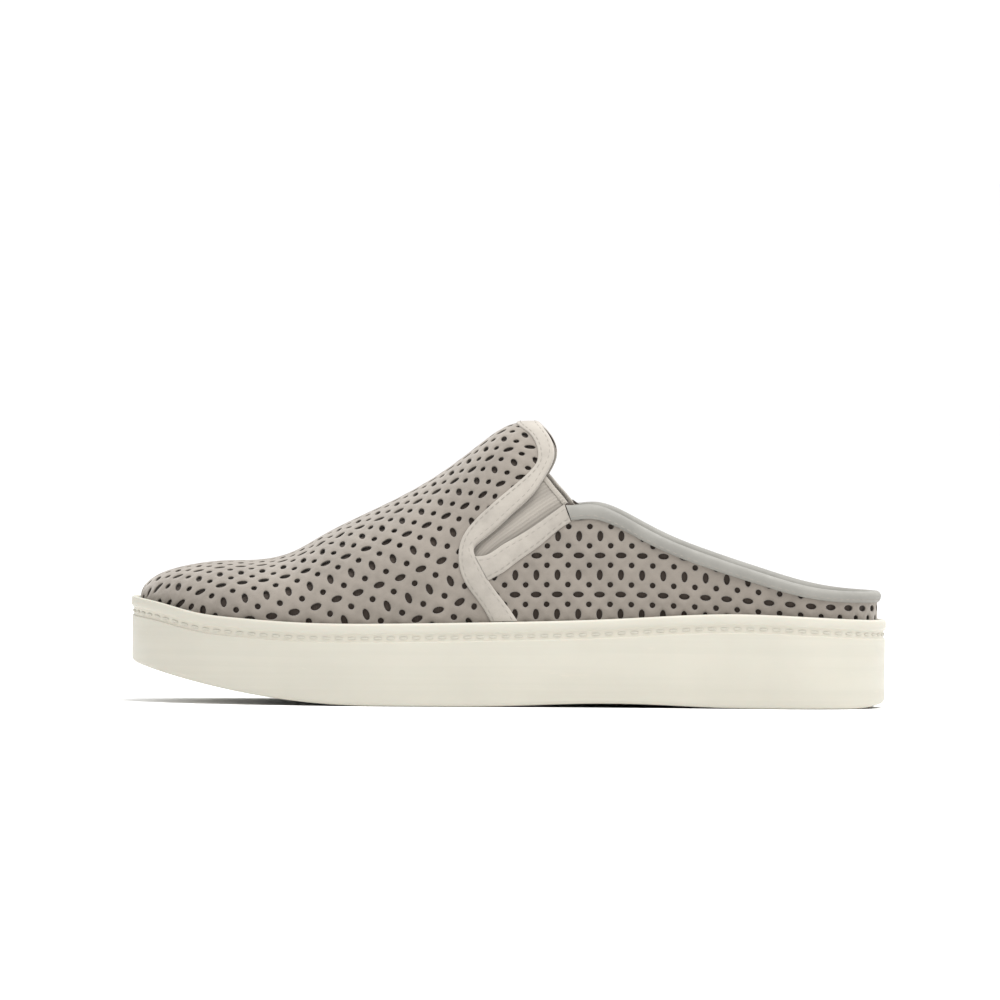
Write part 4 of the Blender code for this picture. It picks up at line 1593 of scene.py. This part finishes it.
def make_stage():
    scene = bpy.context.scene
    azimuth = math.radians(VIEW_AZIMUTH)
    elevation = math.radians(VIEW_ELEVATION)
    centre = Vector(VIEW_CENTRE)
    away = Vector((
        math.sin(azimuth) * math.cos(elevation),
        -math.cos(azimuth) * math.cos(elevation),
        math.sin(elevation),
    ))
    data = bpy.data.cameras.new("photo_camera")
    data.sensor_width = 36.0
    data.lens = 36.0 * VIEW_DISTANCE / (1000 * PIXEL)
    data.clip_end = 100.0
    camera = bpy.data.objects.new("photo_camera", data)
    camera.location = centre + away * VIEW_DISTANCE
    turn = (-away).to_track_quat("-Z", "Y").to_matrix().to_4x4()
    roll = Matrix.Rotation(math.radians(VIEW_ROLL), 4, "Z")
    camera.rotation_euler = (turn @ roll).to_euler()
    scene.collection.objects.link(camera)
    scene.camera = camera
    scene.view_settings.view_transform = "Standard"

    shell = bmesh.new()
    bmesh.ops.create_circle(shell, segments=96, radius=FLOOR_RADIUS, cap_ends=True)
    floor = bare_object("floor", shell)
    paint = Finish("studio_floor", 0.9, 0.1)
    paint.color(paint.mix(paint.noise(3.0), (0.93, 0.93, 0.93), (0.95, 0.95, 0.95)))
    floor.data.materials.append(paint.material)

    world = bpy.data.worlds.new("studio")
    world.use_nodes = True
    sky = world.node_tree.nodes["Background"]
    sky.inputs["Color"].default_value = (1.0, 1.0, 1.0, 1.0)
    sky.inputs["Strength"].default_value = SKY_STRENGTH
    scene.world = world
    for light in LIGHTS:
        add_area_light(light)


class SNEAKER_OT_sole(bpy.types.Operator):
    """Cup sole with its lip, stitch groove and tread"""

    bl_idname = "sneaker.sole"
    bl_label = "Cup sole"

    def execute(self, context):
        make_sole()
        return {"FINISHED"}


class SNEAKER_OT_sole_stitches(bpy.types.Operator):
    """Stitches in the groove round the sole"""

    bl_idname = "sneaker.sole_stitches"
    bl_label = "Sole stitches"

    def execute(self, context):
        make_sole_stitches()
        return {"FINISHED"}


class SNEAKER_OT_footbed(bpy.types.Operator):
    """Cushioned insole in the cup"""

    bl_idname = "sneaker.footbed"
    bl_label = "Footbed"

    def execute(self, context):
        make_footbed()
        return {"FINISHED"}


class SNEAKER_OT_lining(bpy.types.Operator):
    """Dark cloth inside the upper"""

    bl_idname = "sneaker.lining"
    bl_label = "Lining"

    def execute(self, context):
        make_lining()
        return {"FINISHED"}


class SNEAKER_OT_suede(bpy.types.Operator):
    """Punched suede of the vamp and the quarters"""

    bl_idname = "sneaker.suede"
    bl_label = "Punched suede"

    def execute(self, context):
        make_vamp()
        make_quarters()
        return {"FINISHED"}


class SNEAKER_OT_gores(bpy.types.Operator):
    """Ribbed elastic gores with their hems"""

    bl_idname = "sneaker.gores"
    bl_label = "Gores"

    def execute(self, context):
        make_gores()
        return {"FINISHED"}


class SNEAKER_OT_bindings(bpy.types.Operator):
    """Folded strips round the throat and on the quarters' front edges"""

    bl_idname = "sneaker.bindings"
    bl_label = "Bindings"

    def execute(self, context):
        make_binding()
        make_quarter_bands()
        return {"FINISHED"}


class SNEAKER_OT_collar(bpy.types.Operator):
    """Padded band along the topline"""

    bl_idname = "sneaker.collar"
    bl_label = "Collar"

    def execute(self, context):
        make_collar()
        return {"FINISHED"}


class SNEAKER_OT_trim_stitches(bpy.types.Operator):
    """Fine stitches along the bindings and the collar"""

    bl_idname = "sneaker.trim_stitches"
    bl_label = "Trim stitches"

    def execute(self, context):
        make_trim_stitches()
        return {"FINISHED"}


class SNEAKER_OT_stage(bpy.types.Operator):
    """Pale floor, soft light and the camera"""

    bl_idname = "sneaker.stage"
    bl_label = "Stage"

    def execute(self, context):
        make_stage()
        return {"FINISHED"}


OPERATORS = (
    SNEAKER_OT_stage,
    SNEAKER_OT_sole,
    SNEAKER_OT_sole_stitches,
    SNEAKER_OT_footbed,
    SNEAKER_OT_lining,
    SNEAKER_OT_suede,
    SNEAKER_OT_gores,
    SNEAKER_OT_bindings,
    SNEAKER_OT_collar,
    SNEAKER_OT_trim_stitches,
)


class SNEAKER_PT_panel(bpy.types.Panel):
    """Sizes, colours and steps of the sneaker"""

    bl_idname = "SNEAKER_PT_panel"
    bl_label = "Slip-on sneaker"
    bl_space_type = "VIEW_3D"
    bl_region_type = "UI"
    bl_category = "Sneaker"

    def draw(self, context):
        for group in (context.scene.sneaker_sizes, context.scene.sneaker_colors):
            box = self.layout.box()
            for name in group.__annotations__:
                box.prop(group, name)
        for operator in OPERATORS:
            self.layout.operator(operator.bl_idname)


CLASSES = (SneakerSizes, SneakerColors, *OPERATORS, SNEAKER_PT_panel)


def register():
    for item in CLASSES:
        bpy.utils.register_class(item)
    bpy.types.Scene.sneaker_sizes = PointerProperty(type=SneakerSizes)
    bpy.types.Scene.sneaker_colors = PointerProperty(type=SneakerColors)


def unregister():
    del bpy.types.Scene.sneaker_colors
    del bpy.types.Scene.sneaker_sizes
    for item in reversed(CLASSES):
        bpy.utils.unregister_class(item)


def main():
    register()
    for operator in OPERATORS:
        group, name = operator.bl_idname.split(".")
        getattr(getattr(bpy.ops, group), name)()


if __name__ == "__main__":
    main()
